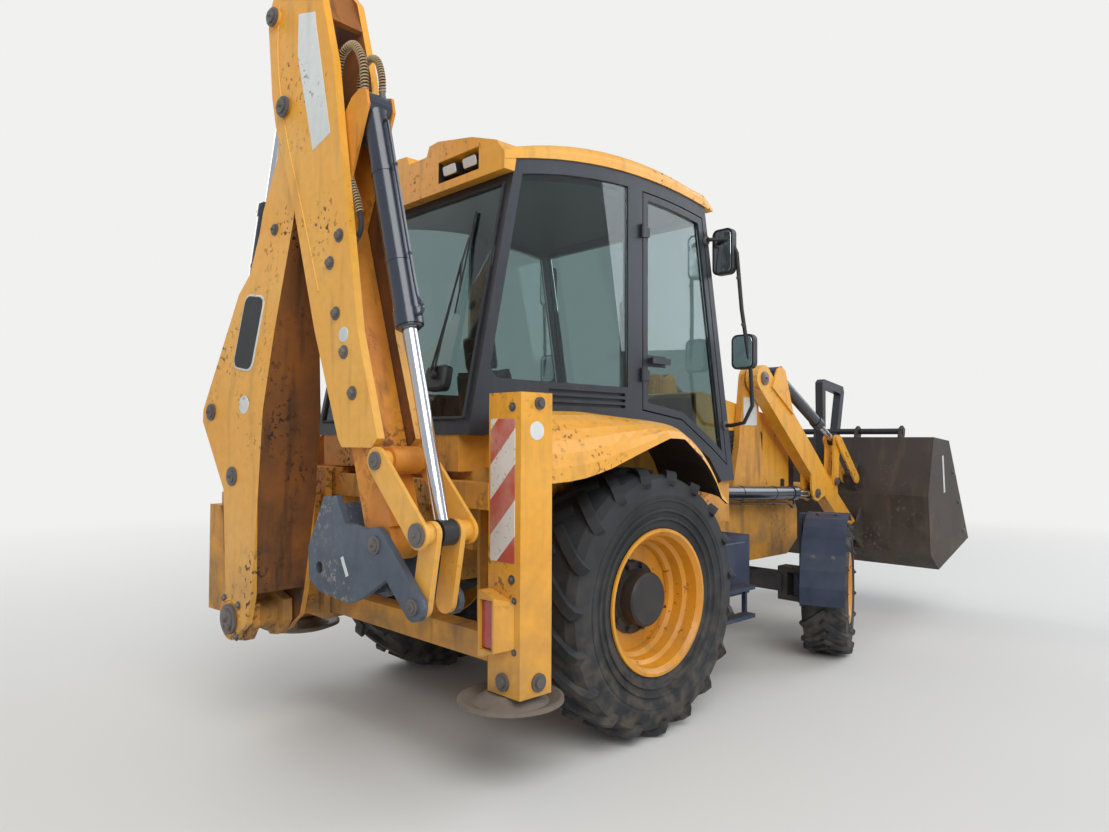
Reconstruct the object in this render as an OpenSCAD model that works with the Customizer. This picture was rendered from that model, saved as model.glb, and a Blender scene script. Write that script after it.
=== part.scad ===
// Backhoe loader with a side-shift excavator, drawn in millimetres.
// Inside vehicle() X runs forward from the rear axle, Y to the left and Z up from the ground.
// Inside hoe_frame() X runs outward along the slewed boom, Y across it and Z up.

/* [Wheels] */
// Distance between the axles
wheelbase = 2170; // [2000:10:2350]
// Outer diameter of a rear tyre
rear_tyre_d = 1410; // [1300:10:1480]
// Lugs on each half of a rear tyre
rear_lugs = 19; // [16:1:22]
// Height of a rear tyre's lugs
rear_lug_h = 34; // [24:1:38]
// Width of a rear tyre
rear_tyre_w = 430; // [380:10:450]
// Diameter of a rear rim at its flange
rear_rim_d = 756; // [700:2:780]
// Distance between the middles of the rear tyres
rear_track = 1810; // [1780:10:1860]
// Outer diameter of a front tyre
front_tyre_d = 964; // [900:2:1000]
// Lugs on each half of a front tyre
front_lugs = 17; // [14:1:19]
// Height of a front tyre's lugs
front_lug_h = 24; // [16:1:28]
// Width of a front tyre
front_tyre_w = 312; // [270:2:330]
// Diameter of a front rim at its flange
front_rim_d = 500; // [460:2:520]
// Distance between the king pins
kingpin_track = 1470; // [1440:10:1500]
// Distance from a king pin to the middle of its tyre
kingpin_offset = 185; // [180:1:200]
// Angle by which the front wheels are steered to the left
steer_rest = 22; // [0:1:30]

/* [Rear frame] */
// Distance from the rear axle to the frame's rear face
frame_back = 1060; // [1040:5:1100]
// Height of the frame's top edge
frame_top = 1360; // [1340:5:1380]
// Height of the frame's bottom edge
frame_bottom = 570; // [550:5:590]
// Height of a frame rail
rail_h = 120; // [90:5:150]
// Depth of a frame rail
rail_d = 120; // [90:5:120]
// Width over the stabiliser casings
casing_span = 2350; // [2300:5:2400]
// Width of a stabiliser casing
casing_w = 215; // [190:5:230]
// Depth of a stabiliser casing
casing_d = 187; // [160:1:190]
// Height of a casing's top
casing_top = 1765; // [1600:5:1850]
// Height of a casing's foot
casing_foot = 440; // [430:5:480]
// Diameter of a stabiliser pad
pad_d = 480; // [400:10:500]

/* [Backhoe] */
// Distance from the rear axle back to the slew axis
kingpost_back = 1505; // [1480:5:1560]
// Room from the slew axis to the outside of the nearer casing
shift_room = 475; // [470:5:525]
// Angle of the slewed boom past square to the machine
slew_past_square = 5; // [0:1:10]
// Half width of the boom at its foot
boom_half_foot = 165; // [160:1:180]
// Half width of the boom at its tip
boom_half_tip = 80; // [70:1:80]
// Thickness of the boom's side plates
boom_plate = 30; // [20:1:32]
// Half width of the dipper over its side plates
dipper_half = 125; // [115:1:130]
// Thickness of a dipper side plate
dipper_plate = 40; // [30:1:40]
// Depth of the sliding inner dipper
inner_depth = 190; // [160:2:190]
// Length of the sliding inner dipper
inner_len = 1850; // [1750:10:1860]

/* [Cab] */
// Width of the cab over its side frames
cab_w = 1490; // [1440:10:1540]
// Thickness of the cab's side frames
cab_wall = 45; // [30:1:60]
// Height of the floor plate
floor_z = 1060; // [1040:5:1100]

/* [Loader] */
// Middle of a loader arm from the centreline
arm_y = 530; // [525:1:540]
// Width of a loader arm
arm_w = 100; // [80:2:100]
// Width of the bucket
bucket_w = 2350; // [2200:10:2400]
// Thickness of the bucket's plates
bucket_plate = 22; // [14:1:30]
// Radius of the loader's main pins
loader_pin_r = 38; // [30:1:42]

/* [Hidden] */

// Middle of the whole machine in the vehicle's own axes, which becomes the origin
origin_x = 1331.8;
origin_y = 0;

yellow = "#E3A02C";
dark = "#2B3040";
rubber = "#2C2F33";
steel = "#4A525C";
chrome = "#C9CDD2";
glass = "#7FB4B8";
bucket_grey = "#35302F";
rim_yellow = "#D08A18";

// Clearances: round fit, sliding fit, and room between moving neighbours
fit = 0.3;
slide_gap = 5;
fine = 64;
guard_rise = 12;
tyre_facets = 48;
lug_lean = 40;

rear_r = rear_tyre_d / 2;
front_r = front_tyre_d / 2;
rail_y = 430;
kingpost_shift = casing_span / 2 - shift_room;
rail_t = 60;
rear_disc = -30;
front_disc = 10;

// Loader points as [x, z]
arm_pivot = [1900, 2020];
bucket_pin = [3330, 790];
lift_base = [1300, 1190];
lift_eye = [2700, 1130];
tilt_base = [2120, 2070];
lever_pivot = [3030, 1215];
lever_top = [3060, 1560];
link_end = [3380, 1230];
fork_pin = [3630, 1640];
hood_hinge = [2580, 1622];

// Backhoe points as [x, z] in the boom's own plane
boom_foot = [260, 620];
boom_tip = [670, 3210];
boom_ram_base = [30, 780];
boom_ram_eye = [260, 1360];
dipper_ram_base = [20, 1700];
dipper_ram_eye = [562, 3700];
dipper_end = [1420, 1100];
lever_on_dipper = [1455, 1465];
bucket_ram_base = [1220, 3100];
bucket_ram_eye = [1735, 1170];
hitch_pin = [1680, 870];
dipper_angle = -16.9;

function dist(p, q) = norm(q - p);
function lean(p, q) = atan2(q[0] - p[0], q[1] - p[1]);
function arc(c, r, from, to, steps) =
    [for (i = [0 : steps]) let (a = from + (to - from) * i / steps) [c[0] + r * cos(a), c[1] + r * sin(a)]];

module vehicle() {
    translate([-origin_x, -origin_y, 0]) children();
}

module hoe_frame() {
    vehicle()
        translate([-kingpost_back, kingpost_shift, 0])
            rotate([0, 0, slew_past_square - 90])
                children();
}

module both_sides() {
    children();
    mirror([0, 1, 0]) children();
}

// Box from its low corner to its high corner
module block(low, high) {
    translate(low) cube(high - low);
}

// Side profile of [x, z] points with thickness t, starting at y0
module plate(points, y0, t) {
    translate([0, y0 + t, 0]) rotate([90, 0, 0]) linear_extrude(height = t) polygon(points);
}

// Round bar along Y at p = [x, z]
module bar_y(p, r, y0, y1) {
    translate([p[0], y0, p[1]]) rotate([-90, 0, 0]) cylinder(h = y1 - y0, r = r, $fn = fine);
}

// Plate with round ends between two points
module link_plate(p, q, r, y0, t) {
    along = atan2(q[1] - p[1], q[0] - p[0]);
    plate(concat(arc(q, r, along - 90, along + 90, 10), arc(p, r, along + 90, along + 270, 10)), y0, t);
}

// Cylinder tube from its base pin p towards q, open at its mouth
module ram_tube(p, q, r, len, rod_r, depth, eye_r, eye_w, pin_r) {
    translate([p[0], 0, p[1]]) rotate([0, lean(p, q), 0]) difference() {
        union() {
            rotate([90, 0, 0]) cylinder(h = eye_w, r = eye_r, center = true, $fn = fine);
            translate([0, 0, pin_r + 8]) cylinder(h = len - pin_r - 8, r = r, $fn = fine);
            translate([0, 0, len - 70]) cylinder(h = 70, r = r + 7, $fn = fine);
        }
        translate([0, 0, len - depth]) cylinder(h = depth + 1, r = rod_r + fit, $fn = fine);
        rotate([90, 0, 0]) cylinder(h = eye_w + 2, r = pin_r + fit, center = true, $fn = fine);
    }
}

// Rod that starts inside the tube, at a distance from p, and ends in an eye at q
module ram_rod(p, q, rod_r, start, eye_r, eye_w, pin_r, pin_w) {
    translate([p[0], 0, p[1]]) rotate([0, lean(p, q), 0]) {
        translate([0, 0, start]) cylinder(h = dist(p, q) - start - eye_r * 0.6, r = rod_r, $fn = fine);
        translate([0, 0, dist(p, q)]) rotate([90, 0, 0]) {
            cylinder(h = eye_w, r = eye_r, center = true, $fn = fine);
            cylinder(h = pin_w, r = pin_r, center = true, $fn = fine);
        }
    }
}

// Strips that close a ring of n points, from each point to its opposite
function cap(n) = concat(
    [for (i = [0 : ceil(n / 2) - 2]) [i, i + 1, n - 1 - i]],
    [for (i = [0 : ceil(n / 2) - 2]) if (i + 1 < n - 2 - i) [i + 1, n - 2 - i, n - 1 - i]]);

// Solid through rings of as many points each, which turn from +Y to +Z when the loft runs along +X
module loft(rings) {
    n = len(rings[0]);
    last = (len(rings) - 1) * n;
    polyhedron(
        points = [for (ring = rings) each ring],
        faces = concat(
            cap(n),
            [for (f = cap(n)) [last + f[2], last + f[1], last + f[0]]],
            [for (k = [0 : n : last - 1], i = [0 : n - 1]) [k + i, k + n + i, k + n + (i + 1) % n]],
            [for (k = [0 : n : last - 1], i = [0 : n - 1]) [k + i, k + n + (i + 1) % n, k + (i + 1) % n]]));
}

function unit(v) = v / norm(v);

// Bent round tube through points
module tube_run(points, r) {
    last = len(points) - 1;
    loft([for (i = [0 : last])
        let (along = unit(points[min(i + 1, last)] - points[max(i - 1, 0)]),
             out = unit(cross(along, [1, 0, 0])),
             up = cross(out, along))
        [for (a = [0 : 30 : 330]) points[i] + r * (cos(a) * up + sin(a) * out)]]);
}

// Wheels

module wheel_place(x, y, z, turn) {
    vehicle() translate([x, y, z]) rotate([0, 0, turn]) rotate([90, 0, 0]) children();
}

module rear_wheel_place(side) {
    wheel_place(0, side * rear_track / 2, rear_r, side > 0 ? 180 : 0) children();
}

module front_wheel_place(side) {
    vehicle()
        translate([wheelbase, side * kingpin_track / 2, front_r])
            rotate([0, 0, steer_rest])
                translate([0, side * kingpin_offset, 0])
                    rotate([0, 0, side > 0 ? 180 : 0])
                        rotate([90, 0, 0])
                            children();
}

// One tread lug beside +X, from the middle of the tread to the shoulder, leaning towards -Y
module lug(r, base, h, w) {
    long = 1 / cos(lug_lean);
    side = [[base - 45, -14 * long], [r - 12, -14 * long], [r - 3, h * 0.45 * long], [r - 11,
            h * 0.80 * long],
            [r * 0.955, h * 0.96 * long], [r * 0.90, h * long], [r * 0.87, h * 0.98 * long], [base - 45,
                    h * 0.70 * long]];
    translate([0, h * tan(lug_lean) / 2, 0])
        rotate([lug_lean, 0, 0])
            translate([0, w / 2, 0]) rotate([90, 0, 0]) linear_extrude(height = w) polygon(side);
}

// Tyre about Z, outer side towards +Z, with lugs on both sides in turn
module tyre(d, w, rim_d, lugs, lug_h, lug_w) {
    r = d / 2;
    base = r - lug_h;
    seat = rim_d / 2 - 18;
    h = w / 2;
    pitch = 360 / lugs;
    color(rubber) {
        rotate_extrude($fn = tyre_facets)
            polygon([[seat, -h * 0.80], [rim_d / 2 + 14, -h * 0.86], [r * 0.80, -h],
                     [base * 0.965, -h * 0.92],
                     [base, -h * 0.70], [base, h * 0.70], [base * 0.965, h * 0.92], [r * 0.80, h],
                     [rim_d / 2 + 14, h * 0.86], [seat, h * 0.80]]);
        for (i = [0 : lugs - 1]) {
            rotate([0, 0, i * pitch]) lug(r, base, h, lug_w);
            rotate([0, 0, (i + 0.5) * pitch]) mirror([0, 0, 1]) lug(r, base, h, lug_w);
        }
    }
}

// Deep rim about Z with its disc at z = disc, outer side towards +Z: a rolled flange, then two steps down
// to the disc
module rim(rim_d, w, disc, hub_r, hub_out, bolt_circle, bolts) {
    seat = rim_d / 2 - 18 - fit;
    h = w / 2 * 0.80;
    lip = w / 2 * 0.86 - h;
    deep = h - disc;
    color(rim_yellow) {
        rotate_extrude($fn = tyre_facets)
            polygon([[seat, -h], [seat, h + 2], [seat + 26, h + lip + 3], [seat + 24, h + lip + 13],
                     [seat + 8, h + lip + 14],
                     [seat - 14, h + 4], [seat - 22, disc + deep * 0.72], [seat - 42, disc + deep * 0.64],
                     [seat - 48, disc + deep * 0.36], [seat - 70, disc + deep * 0.28], [seat - 76, disc + 40],
                     [seat - 76, -h * 0.4], [seat - 14, -h]]);
        translate([0, 0, disc]) cylinder(h = 26, r = seat - 60, $fn = fine);
    }
    color(dark) {
        rotate_extrude($fn = fine)
            polygon([[0, disc + 1], [bolt_circle + 22, disc + 1], [bolt_circle + 22, disc + 38],
                     [hub_r + 10, disc + 46],
                     [hub_r, disc + 66], [hub_r, hub_out - 10], [hub_r - 12, hub_out], [0, hub_out]]);
        for (i = [0 : bolts - 1]) rotate([0, 0, i * 360 / bolts])
            translate([bolt_circle, 0, disc + 30]) cylinder(h = 34, r = bolt_circle / 12, $fn = 16);
    }
}

// The chevrons of both tyres point the same way, so one side is a mirror image
module tyre_rear(side) {
    rear_wheel_place(side) scale_side(side) tyre(rear_tyre_d, rear_tyre_w, rear_rim_d, rear_lugs, rear_lug_h,
                                                 54);
}
module tyre_rear_left() { tyre_rear(1); }
module tyre_rear_right() { tyre_rear(-1); }
module rim_rear(side) {
    rear_wheel_place(side) rim(rear_rim_d, rear_tyre_w, rear_disc, 142, 120, 174, 10);
}
module rim_rear_left() { rim_rear(1); }
module rim_rear_right() { rim_rear(-1); }
module tyre_front(side) {
    front_wheel_place(side) scale_side(side) tyre(front_tyre_d, front_tyre_w, front_rim_d, front_lugs,
                                                  front_lug_h, 40);
}
module tyre_front_left() { tyre_front(1); }
module tyre_front_right() { tyre_front(-1); }
module rim_front(side) {
    front_wheel_place(side) rim(front_rim_d, front_tyre_w, front_disc, 75, 110, 110, 8);
}
module rim_front_left() { rim_front(1); }
module rim_front_right() { rim_front(-1); }

// Axles and steering

module rear_axle() {
    color(dark) vehicle() translate([0, 0, rear_r]) {
        rotate([90, 0, 0]) cylinder(h = 2 * 560, r = 95, center = true, $fn = fine);
        rotate([90, 0, 0]) cylinder(h = 2 * 190, r = 190, center = true, $fn = fine);
        both_sides() {
            block([-150, rail_y - rail_t - 30, -60], [150, rail_y, 125]);
            translate([0, rear_track / 2 - 150, 0]) rotate([90, 0, 0]) cylinder(h = 200, r = 165, $fn = fine);
            translate([0, rear_track / 2 + rear_disc - fit, 0]) rotate([90, 0, 0]) cylinder(h = 180, r = 90,
                    $fn = fine);
        }
    }
}

module front_axle() {
    color(dark) vehicle() translate([wheelbase, 0, front_r]) {
        block([-75, -600, -60], [75, 600, 70]);
        block([-85, -120, -85], [85, 120, 95]);
        rotate([0, 90, 0]) cylinder(h = 240, r = 35, center = true, $fn = fine);
        both_sides() {
            for (z = [-125, 85]) difference() {
                union() {
                    translate([0, kingpin_track / 2, z]) cylinder(h = 40, r = 60, $fn = fine);
                    block([-60, 560, z], [60, kingpin_track / 2, z + 40]);
                }
                translate([0, kingpin_track / 2, z - 1]) cylinder(h = 42, r = 26 + fit, $fn = fine);
            }
            block([-60, 560, -125], [60, 640, 125]);
        }
    }
}

// Knuckle, hub carrier and mudguard of one front wheel
module knuckle(side) {
    guard_r = front_r + 62;
    vehicle()
        translate([wheelbase, side * kingpin_track / 2, front_r])
            rotate([0, 0, steer_rest])
                scale_side(side) {
                    color(dark) {
                        translate([0, 0, -160]) cylinder(h = 330, r = 26, $fn = fine);
                        translate([0, 0, -85 + slide_gap]) cylinder(h = 170 - 2 * slide_gap, r = 70,
                                                                    $fn = fine);
                        translate([0, kingpin_offset + front_disc - fit, 0]) rotate([90, 0, 0])
                            cylinder(h = kingpin_offset, r = 62, $fn = fine);
                    }
                    color(dark) {
                        translate([0, kingpin_offset + front_tyre_w / 2 - 10, 0]) rotate([90, 0, 0])
                            linear_extrude(height = front_tyre_w - 20)
                                polygon(concat(arc([0, 0], guard_r, 60, 185, 10),
                                               arc([0, 0], guard_r - 8, 185, 60, 10)));
                        block([-45, 0, 160], [45, 60, 180]);
                        block([-45, -20, 160], [45, 0, guard_r - 30]);
                        block([-45, -20, guard_r - 45], [45, kingpin_offset - 60, guard_r - 12]);
                    }
                }
}

module scale_side(side) {
    if (side > 0) children();
    else mirror([0, 1, 0]) children();
}

module knuckle_left() { knuckle(1); }
module knuckle_right() { knuckle(-1); }

// Chassis

module chassis() {
    rail = [[-940, 830], [-940, 1000], [1240, 1000], [1500, 1130], [2560, 1130], [2640, 1000], [2640, 760],
            [2480, 650], [1860, 650], [1500, 600], [420, 600], [260, 830]];
    tower = concat([[1640, 1131], [2160, 1131], [2060, 1500]],
                   arc(arm_pivot, 85, 0, 180, 8), [[1740, 1500]]);
    color(yellow) vehicle() {
        both_sides() {
            plate(rail, rail_y - rail_t, rail_t);
            plate(tower, rail_y - 22, 50);
            block([1640, rail_y - 22, 1129], [2160, rail_y + 28, 1132]);
            bar_y(arm_pivot, loader_pin_r, rail_y + 27, arm_y + arm_w / 2 + 12);
            bar_y(arm_pivot, 62, rail_y + 27, arm_y - arm_w / 2 - fit);
            // lift ram brackets with their pins
            plate([[1240, 980], [1420, 1080], [1365, 1190], [1300, 1250], [1236, 1190]], rail_y - 1, 27);
            for (x = [-780, 1000]) block([x, rail_y - rail_t, 999], [x + 90, rail_y, floor_z - 40 - fit]);
            bar_y(lift_base, 32, rail_y + 25, arm_y + 45);
            bar_y(lift_base, 38, rail_y + 25, arm_y - 30 - fit);
        }
        // cross members
        block([-940, -rail_y + rail_t, 860], [-820, rail_y - rail_t, 980]);
        block([560, -rail_y + rail_t, 620], [640, rail_y - rail_t, 700]);
        block([wheelbase - 160, -rail_y + rail_t, 660], [wheelbase + 160, rail_y - rail_t, 730]);
        block([2520, -rail_y + rail_t, 760], [2640, rail_y - rail_t, 1000]);
        // ears that hold the front axle's pivot
        for (x = [wheelbase - 120, wheelbase + 90]) difference() {
            block([x, -110, front_r - 75], [x + 30, 110, 670]);
            translate([x - 1, 0, front_r]) rotate([0, 90, 0]) cylinder(h = 32, r = 35 + fit, $fn = fine);
        }
    }
}

module engine_block() {
    color(steel) vehicle() {
        block([1450, -280, 730 + fit], [2350, 280, 1480]);
        block([700, -200, 720], [1450, 200, 980]);
    }
}

module rear_frame() {
    front = -frame_back + rail_d;
    half = casing_span / 2 - casing_w;
    color(yellow) vehicle() {
        block([-frame_back, -half, frame_top - rail_h], [front, half, frame_top]);
        block([-frame_back, -half, frame_bottom], [front, half, frame_bottom + rail_h]);
        both_sides() {
            block([-frame_back + 20, 330, frame_bottom + rail_h], [front, 450, frame_top - rail_h]);
            difference() {
                block([-frame_back + 3, half, casing_foot], [-frame_back + 3 + casing_d, half + casing_w,
                                                             casing_top]);
                block([-frame_back + 15, half + 12, casing_foot - 1],
                      [-frame_back + casing_d - 9, half + casing_w - 12, casing_top - 12]);
            }
            // lock pins through the casing's foot and the bolt at its head
            translate([-frame_back - 9, half + casing_w / 2, 500]) rotate([0, 90, 0]) cylinder(h = 13,
                    r = 40, $fn = fine);
            translate([-frame_back - 19, half + casing_w / 2, 500]) rotate([0, 90, 0]) cylinder(h = 11,
                    r = 24, $fn = fine);
            for (pin = [[500, 40, 24], [1718, 28, 16]]) {
                translate([-950, half + casing_w - 1, pin[0]]) rotate([-90, 0, 0]) cylinder(h = 11,
                        r = pin[1], $fn = fine);
                translate([-950, half + casing_w + 9, pin[0]]) rotate([-90, 0, 0]) cylinder(h = 11,
                        r = pin[2], $fn = fine);
            }
            block([-frame_back + 2 + casing_d, half - 190, 680], [-frame_back + 23 + casing_d, half + 60,
                                                                  1250]);
            block([front - 20, half - 200, 680], [-frame_back + 23 + casing_d, half - 180, 1250]);
        }
    }
}

// Lamp guards welded on the casings' rear faces: a slanted box with the lens set back in it
module tail_lamps() {
    half = casing_span / 2 - casing_w;
    face = -frame_back + 3 - fit;
    plan = [[face, half + 4], [face - 66, half + 10], [face - 66, half + 118], [face, half + 176]];
    front = [[half, 606], [half + 30, 606], [half + 180, 655], [half + 180, 852], [half + 30, 896], [half,
            896]];
    vehicle() both_sides() {
        color(yellow) difference() {
            intersection() {
                translate([0, 0, 600]) linear_extrude(height = 300) polygon(plan);
                translate([face - 70, 0, 0]) rotate([90, 0, 90]) linear_extrude(height = 70) polygon(front);
            }
            block([face - 71, half + 20, 640], [face - 24, half + 106, 858]);
        }
        color("red") block([face - 50, half + 20 + fit, 648], [face - 24 - fit, half + 106 - fit, 850]);
    }
}

module stabiliser(side) {
    half = casing_span / 2 - casing_w;
    low = -frame_back + 15 + 6;
    vehicle() scale_side(side) {
        color(yellow) block([low, half + 18, 434], [-frame_back + casing_d - 15, half + casing_w - 18, 1500]);
        color(yellow) block([-frame_back + 15 + fit, half + 12 + fit, 1420],
                            [-frame_back + casing_d - 9 - fit, half + casing_w - 12 - fit, 1500]);
        color(steel) translate([-frame_back + 95, half + casing_w / 2 - 55, 0]) {
            rotate_extrude($fn = fine)
                polygon([[0, 370], [pad_d / 2 - 60, 370], [pad_d / 2, 392], [pad_d / 2, 408],
                         [pad_d / 2 - 16, 410],
                         [pad_d / 2 - 66, 392], [130, 416], [110, 434], [0, 434]]);
        }
    }
}

module stabiliser_left() { stabiliser(1); }
module stabiliser_right() { stabiliser(-1); }

// Cab

// The side frames' top edge arches up to arch_top at x = arch_x
arch_top = 3110;
arch_x = 300;
function arch(x) = arch_top - 0.00013 * (x - arch_x) * (x - arch_x);
function arch_run(from, to, steps, drop) =
    [for (i = [0 : steps]) let (x = from + (to - from) * i / steps) [x, arch(x) - drop]];

cab_rear_low = [-1010, 1580];
cab_rear_x = -716;
cab_front_x = 905;
cab_front_low = [1240, 1290];
header_drop = 78;
arch_steps = 12;
side_door = [288, 872];

// Top of the mudguard's inner edge and its outer lip, as [x, z]
guard_seat = [[-842, 1640], [-795, 1690], [-350, 1695], [60, 1665], [200, 1654], [300, 1622], [400, 1553],
              [480, 1463], [540, 1368], [600, 1262]];
guard_lip = [[-842, 1356], [-640, 1366], [-430, 1409], [-164, 1497], [66, 1569], [188, 1563], [358, 1454],
             [469, 1348], [537, 1228], [600, 1190]];

// Outline of the door, or of its glass and hole, grown inwards by g
function door_outline(g) =
    concat([[side_door[0] + g, 1738 + g]],
           arch_run(side_door[0] + g, side_door[1] - 0.9 * g, 5, header_drop + 8 + g),
           [[1148 - 1.25 * g, 1406 + 1.9 * g], [984 + 0.5 * g, 1511 + 0.9 * g], [664 + 0.25 * g, 1689 + g]]);

// Outline of the side window's hole, grown inwards by g
function window_outline(g) =
    concat(arc([-806 + g, 1930], 70, 192, 270, 5), [[150 - g, 1860 + g]],
           [for (p = arch_run(150 - g, -672 + g, 6, header_drop + g)) p]);

function cab_inside(w) = cab_w / 2 - w;

module cab_floor() {
    inner = 660;
    low = floor_z - 40;
    color(yellow) vehicle() {
        block([-912, -inner, low], [1215, inner, floor_z]);
        // back wall, stepped over the carriage's top lip
        plate([[-912, low], [-912, 1402], [-1000, 1402], [-1005, 1580 - fit], [-955, 1580 - fit],
               [-955, 1440],
               [-875, 1440], [-875, low]], -inner, 2 * inner);
        both_sides() {
            plate([[-912, low], [1215, low], [1215, 1290 - fit], [1000, 1290 - fit], [640, 1440], [640, 1560],
                   [-955, 1579], [-955, 1410], [-912, 1410]], inner - 30, 30);
            plate([[660, low], [1215, low], [1215, 1290 - fit], [1130, 1290 - fit]], inner - 1, 61);
        }
        block([1185, -inner, low], [1215, inner, 1290 - fit]);
    }
}

module cab_frame() {
    outline = concat([cab_rear_low], arch_run(cab_rear_x, cab_front_x, arch_steps, 0),
                     [cab_front_low, [1090, 1290], [960, 1440], [640, 1620], [200, 1680]],
                     [for (x = [60, -350, -795]) [x, lookup(x, guard_seat) + fit]],
                     [[-850, 1650], [-865, 1580]]);
    y_in = cab_inside(cab_wall);
    color(dark) vehicle() {
        both_sides() difference() {
            plate(outline, y_in, cab_wall);
            plate(window_outline(0), y_in - 1, cab_wall + 2);
            plate(door_outline(-8), y_in - 1, cab_wall + 2);
            // louvres under the side window, with the round ends of their slats
            for (z = [1738, 1772, 1806])
                plate(concat([[-480, z]], arc([120, z + 9], 9, -90, 90, 4), [[-480, z + 18]]), y_in + 26,
                      cab_wall);
        }
        // rear sill, rear header, front header and front sill
        plate([cab_rear_low, [-995, 1650], [-950, 1650], [-960, 1580]], -y_in, 2 * y_in);
        plate([[-738, 2865], [cab_rear_x, arch(cab_rear_x)], [cab_rear_x + 40, arch(cab_rear_x)],
               [-686, 2865]],
              -y_in, 2 * y_in);
        plate([[880, 2960], [866, arch(cab_front_x)], [cab_front_x, arch(cab_front_x)], [924, 2960]], -y_in,
              2 * y_in);
        plate([[1180, 1290], [1160, 1400], [1219, 1400], cab_front_low], -y_in, 2 * y_in);
    }
}

module cab_glass() {
    y_in = cab_inside(cab_wall);
    color(glass, 0.4) vehicle() {
        plate([[-992, 1650 + fit], [-741, 2865 - fit], [-733, 2865 - fit], [-984, 1650 + fit]],
              -y_in + fit, 2 * (y_in - fit));
        plate([[1208, 1400 + fit], [915, 2960 - fit], [923, 2960 - fit], [1216, 1400 + fit]],
              -y_in + fit, 2 * (y_in - fit));
        both_sides() plate(window_outline(fit), cab_w / 2 - 20, 8);
    }
}

// Ring of the roof at x, from one bottom edge over the crown to the other
function roof_ring(x) =
    let (low = arch(x) + fit,
         t = x > 900 ? 96 - 0.85 * (x - 900) : 100 - 0.000046 * (x - 150) * (x - 150),
         half = cab_w / 2 + 10,
         bend = min(60, t * 0.6),
         side = arc([half - bend, t - bend], bend, 0, 75, 5),
         crown = [[half * 0.55, t + 26], [0, t + 38]],
         right = concat([[half, 0]], side, crown))
    concat([for (p = right) [x, p[0], low + p[1]]],
           [for (i = [len(right) - 2 : -1 : 0]) [x, -right[i][0], low + right[i][1]]]);

module cab_roof() {
    rear = -800;
    under_pod = [for (p = arch_run(cab_rear_x, cab_front_x, arch_steps, -fit)) if (p[0] < -320) p];
    pod_front = under_pod[len(under_pod) - 1][0] - 1;
    // rear view of the roof's end with its two lamp pods, as [y, z], on one side
    half = cab_w / 2;
    end = [[85, 3127], [112, 3180], [194, 3186], [half - 252, 3131], [half - 55, 3064], [half + 5, 2992],
           [half + 10, 2905]];
    color(yellow) vehicle() {
        difference() {
            union() {
                loft([for (x = concat([-800],
                                      [for (p = arch_run(cab_rear_x,
                                                         cab_front_x, arch_steps, 0)) p[0]], [985]))
                      roof_ring(x)]);
                translate([rear, 0, 0]) rotate([90, 0, 90]) linear_extrude(height = pod_front - rear)
                    polygon(concat([for (i = [6 : -1 : 0]) [-end[i][0], end[i][1]]], end));
            }
            // the frame's place under the roof's rear end
            plate(concat([[cab_rear_x - 40, 2800], [cab_rear_x - 3, under_pod[0][1]]], under_pod,
                         [[pod_front + 1, 2800]]),
                  -cab_w, 2 * cab_w);
            both_sides() plate([[rear - 1, 2950], [rear - 1, 3068], [-690, 3040], [-690, 2985]], 200, 350);
        }
    }
    // work lamps in the pods
    color(dark) vehicle() both_sides()
        for (y = [225, 400])
            plate([[-780, 2985], [-795, 3040], [-690 - fit, 3034], [-690 - fit, 2992]], y, 120);
}

module door(side) {
    y_in = cab_inside(cab_wall);
    vehicle() scale_side(side) {
        color(dark) difference() {
            plate(door_outline(0), y_in + 4, cab_wall - 4);
            plate(door_outline(42), y_in, cab_wall + 2);
        }
        color(dark) {
            // handle with its two feet, then the hinges
            block([330, cab_w / 2 + 22, 2010], [500, cab_w / 2 + 40, 2046]);
            for (x = [332, 470]) block([x, cab_w / 2 - 1, 2014], [x + 26, cab_w / 2 + 23, 2042]);
            block([331, cab_w / 2 - 18, 1995], [500, cab_w / 2, 2061]);
            for (z = [1900, 2750]) translate([270, cab_w / 2 + 12, z]) cylinder(h = 80, r = 12, $fn = 24);
            for (z = [1900, 2750]) block([270, cab_w / 2, z + 10], [340, cab_w / 2 + 8, z + 70]);
        }
    }
}

module door_glass(side) {
    vehicle() scale_side(side) color(glass, 0.4) difference() {
        plate(door_outline(42 + fit), cab_w / 2 - 24, 8);
        block([320, cab_w / 2 - 30, 1994], [501, cab_w / 2, 2062]);
    }
}

module door_left() { door(1); }
module door_right() { door(-1); }
module door_glass_left() { door_glass(1); }
module door_glass_right() { door_glass(-1); }

// Ring of a mudguard at x: flat beside the cab, then a quarter of an ellipse down to the outer lip
function guard_curve(x, t) =
    let (seat = lookup(x, guard_seat), lip = lookup(x, guard_lip), crest = seat + guard_rise,
         out = casing_span / 2 - 55)
    concat([[x, 660 + fit, seat - t], [x, cab_w / 2 + 7, seat - t]],
           [for (a = [90 : -11.25 : 0])
               [x, 800 + (out - t - 800) * cos(a), lip + (crest - t - lip) * sin(a)]]);
function reversed(list) = [for (i = [len(list) - 1 : -1 : 0]) list[i]];

module rear_mudguards() {
    stations = [-842, -795, -700, -600, -500, -400, -350, -250, -160, -60, 60, 130, 190, 250, 310, 370, 430,
                490, 540, 600];
    rear_wall = concat([for (p = guard_curve(stations[0], 8)) [p[1], p[2]]], [[casing_span / 2 - 75, 1340],
            [660 + fit, 1420]]);
    color(yellow) vehicle() both_sides() {
        loft([for (x = stations) concat(guard_curve(x, 16), reversed(guard_curve(x, 0)))]);
        translate([stations[0] + 5, 0, 0]) rotate([90, 0, 90]) linear_extrude(height = 14) polygon(rear_wall);
    }
}

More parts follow.
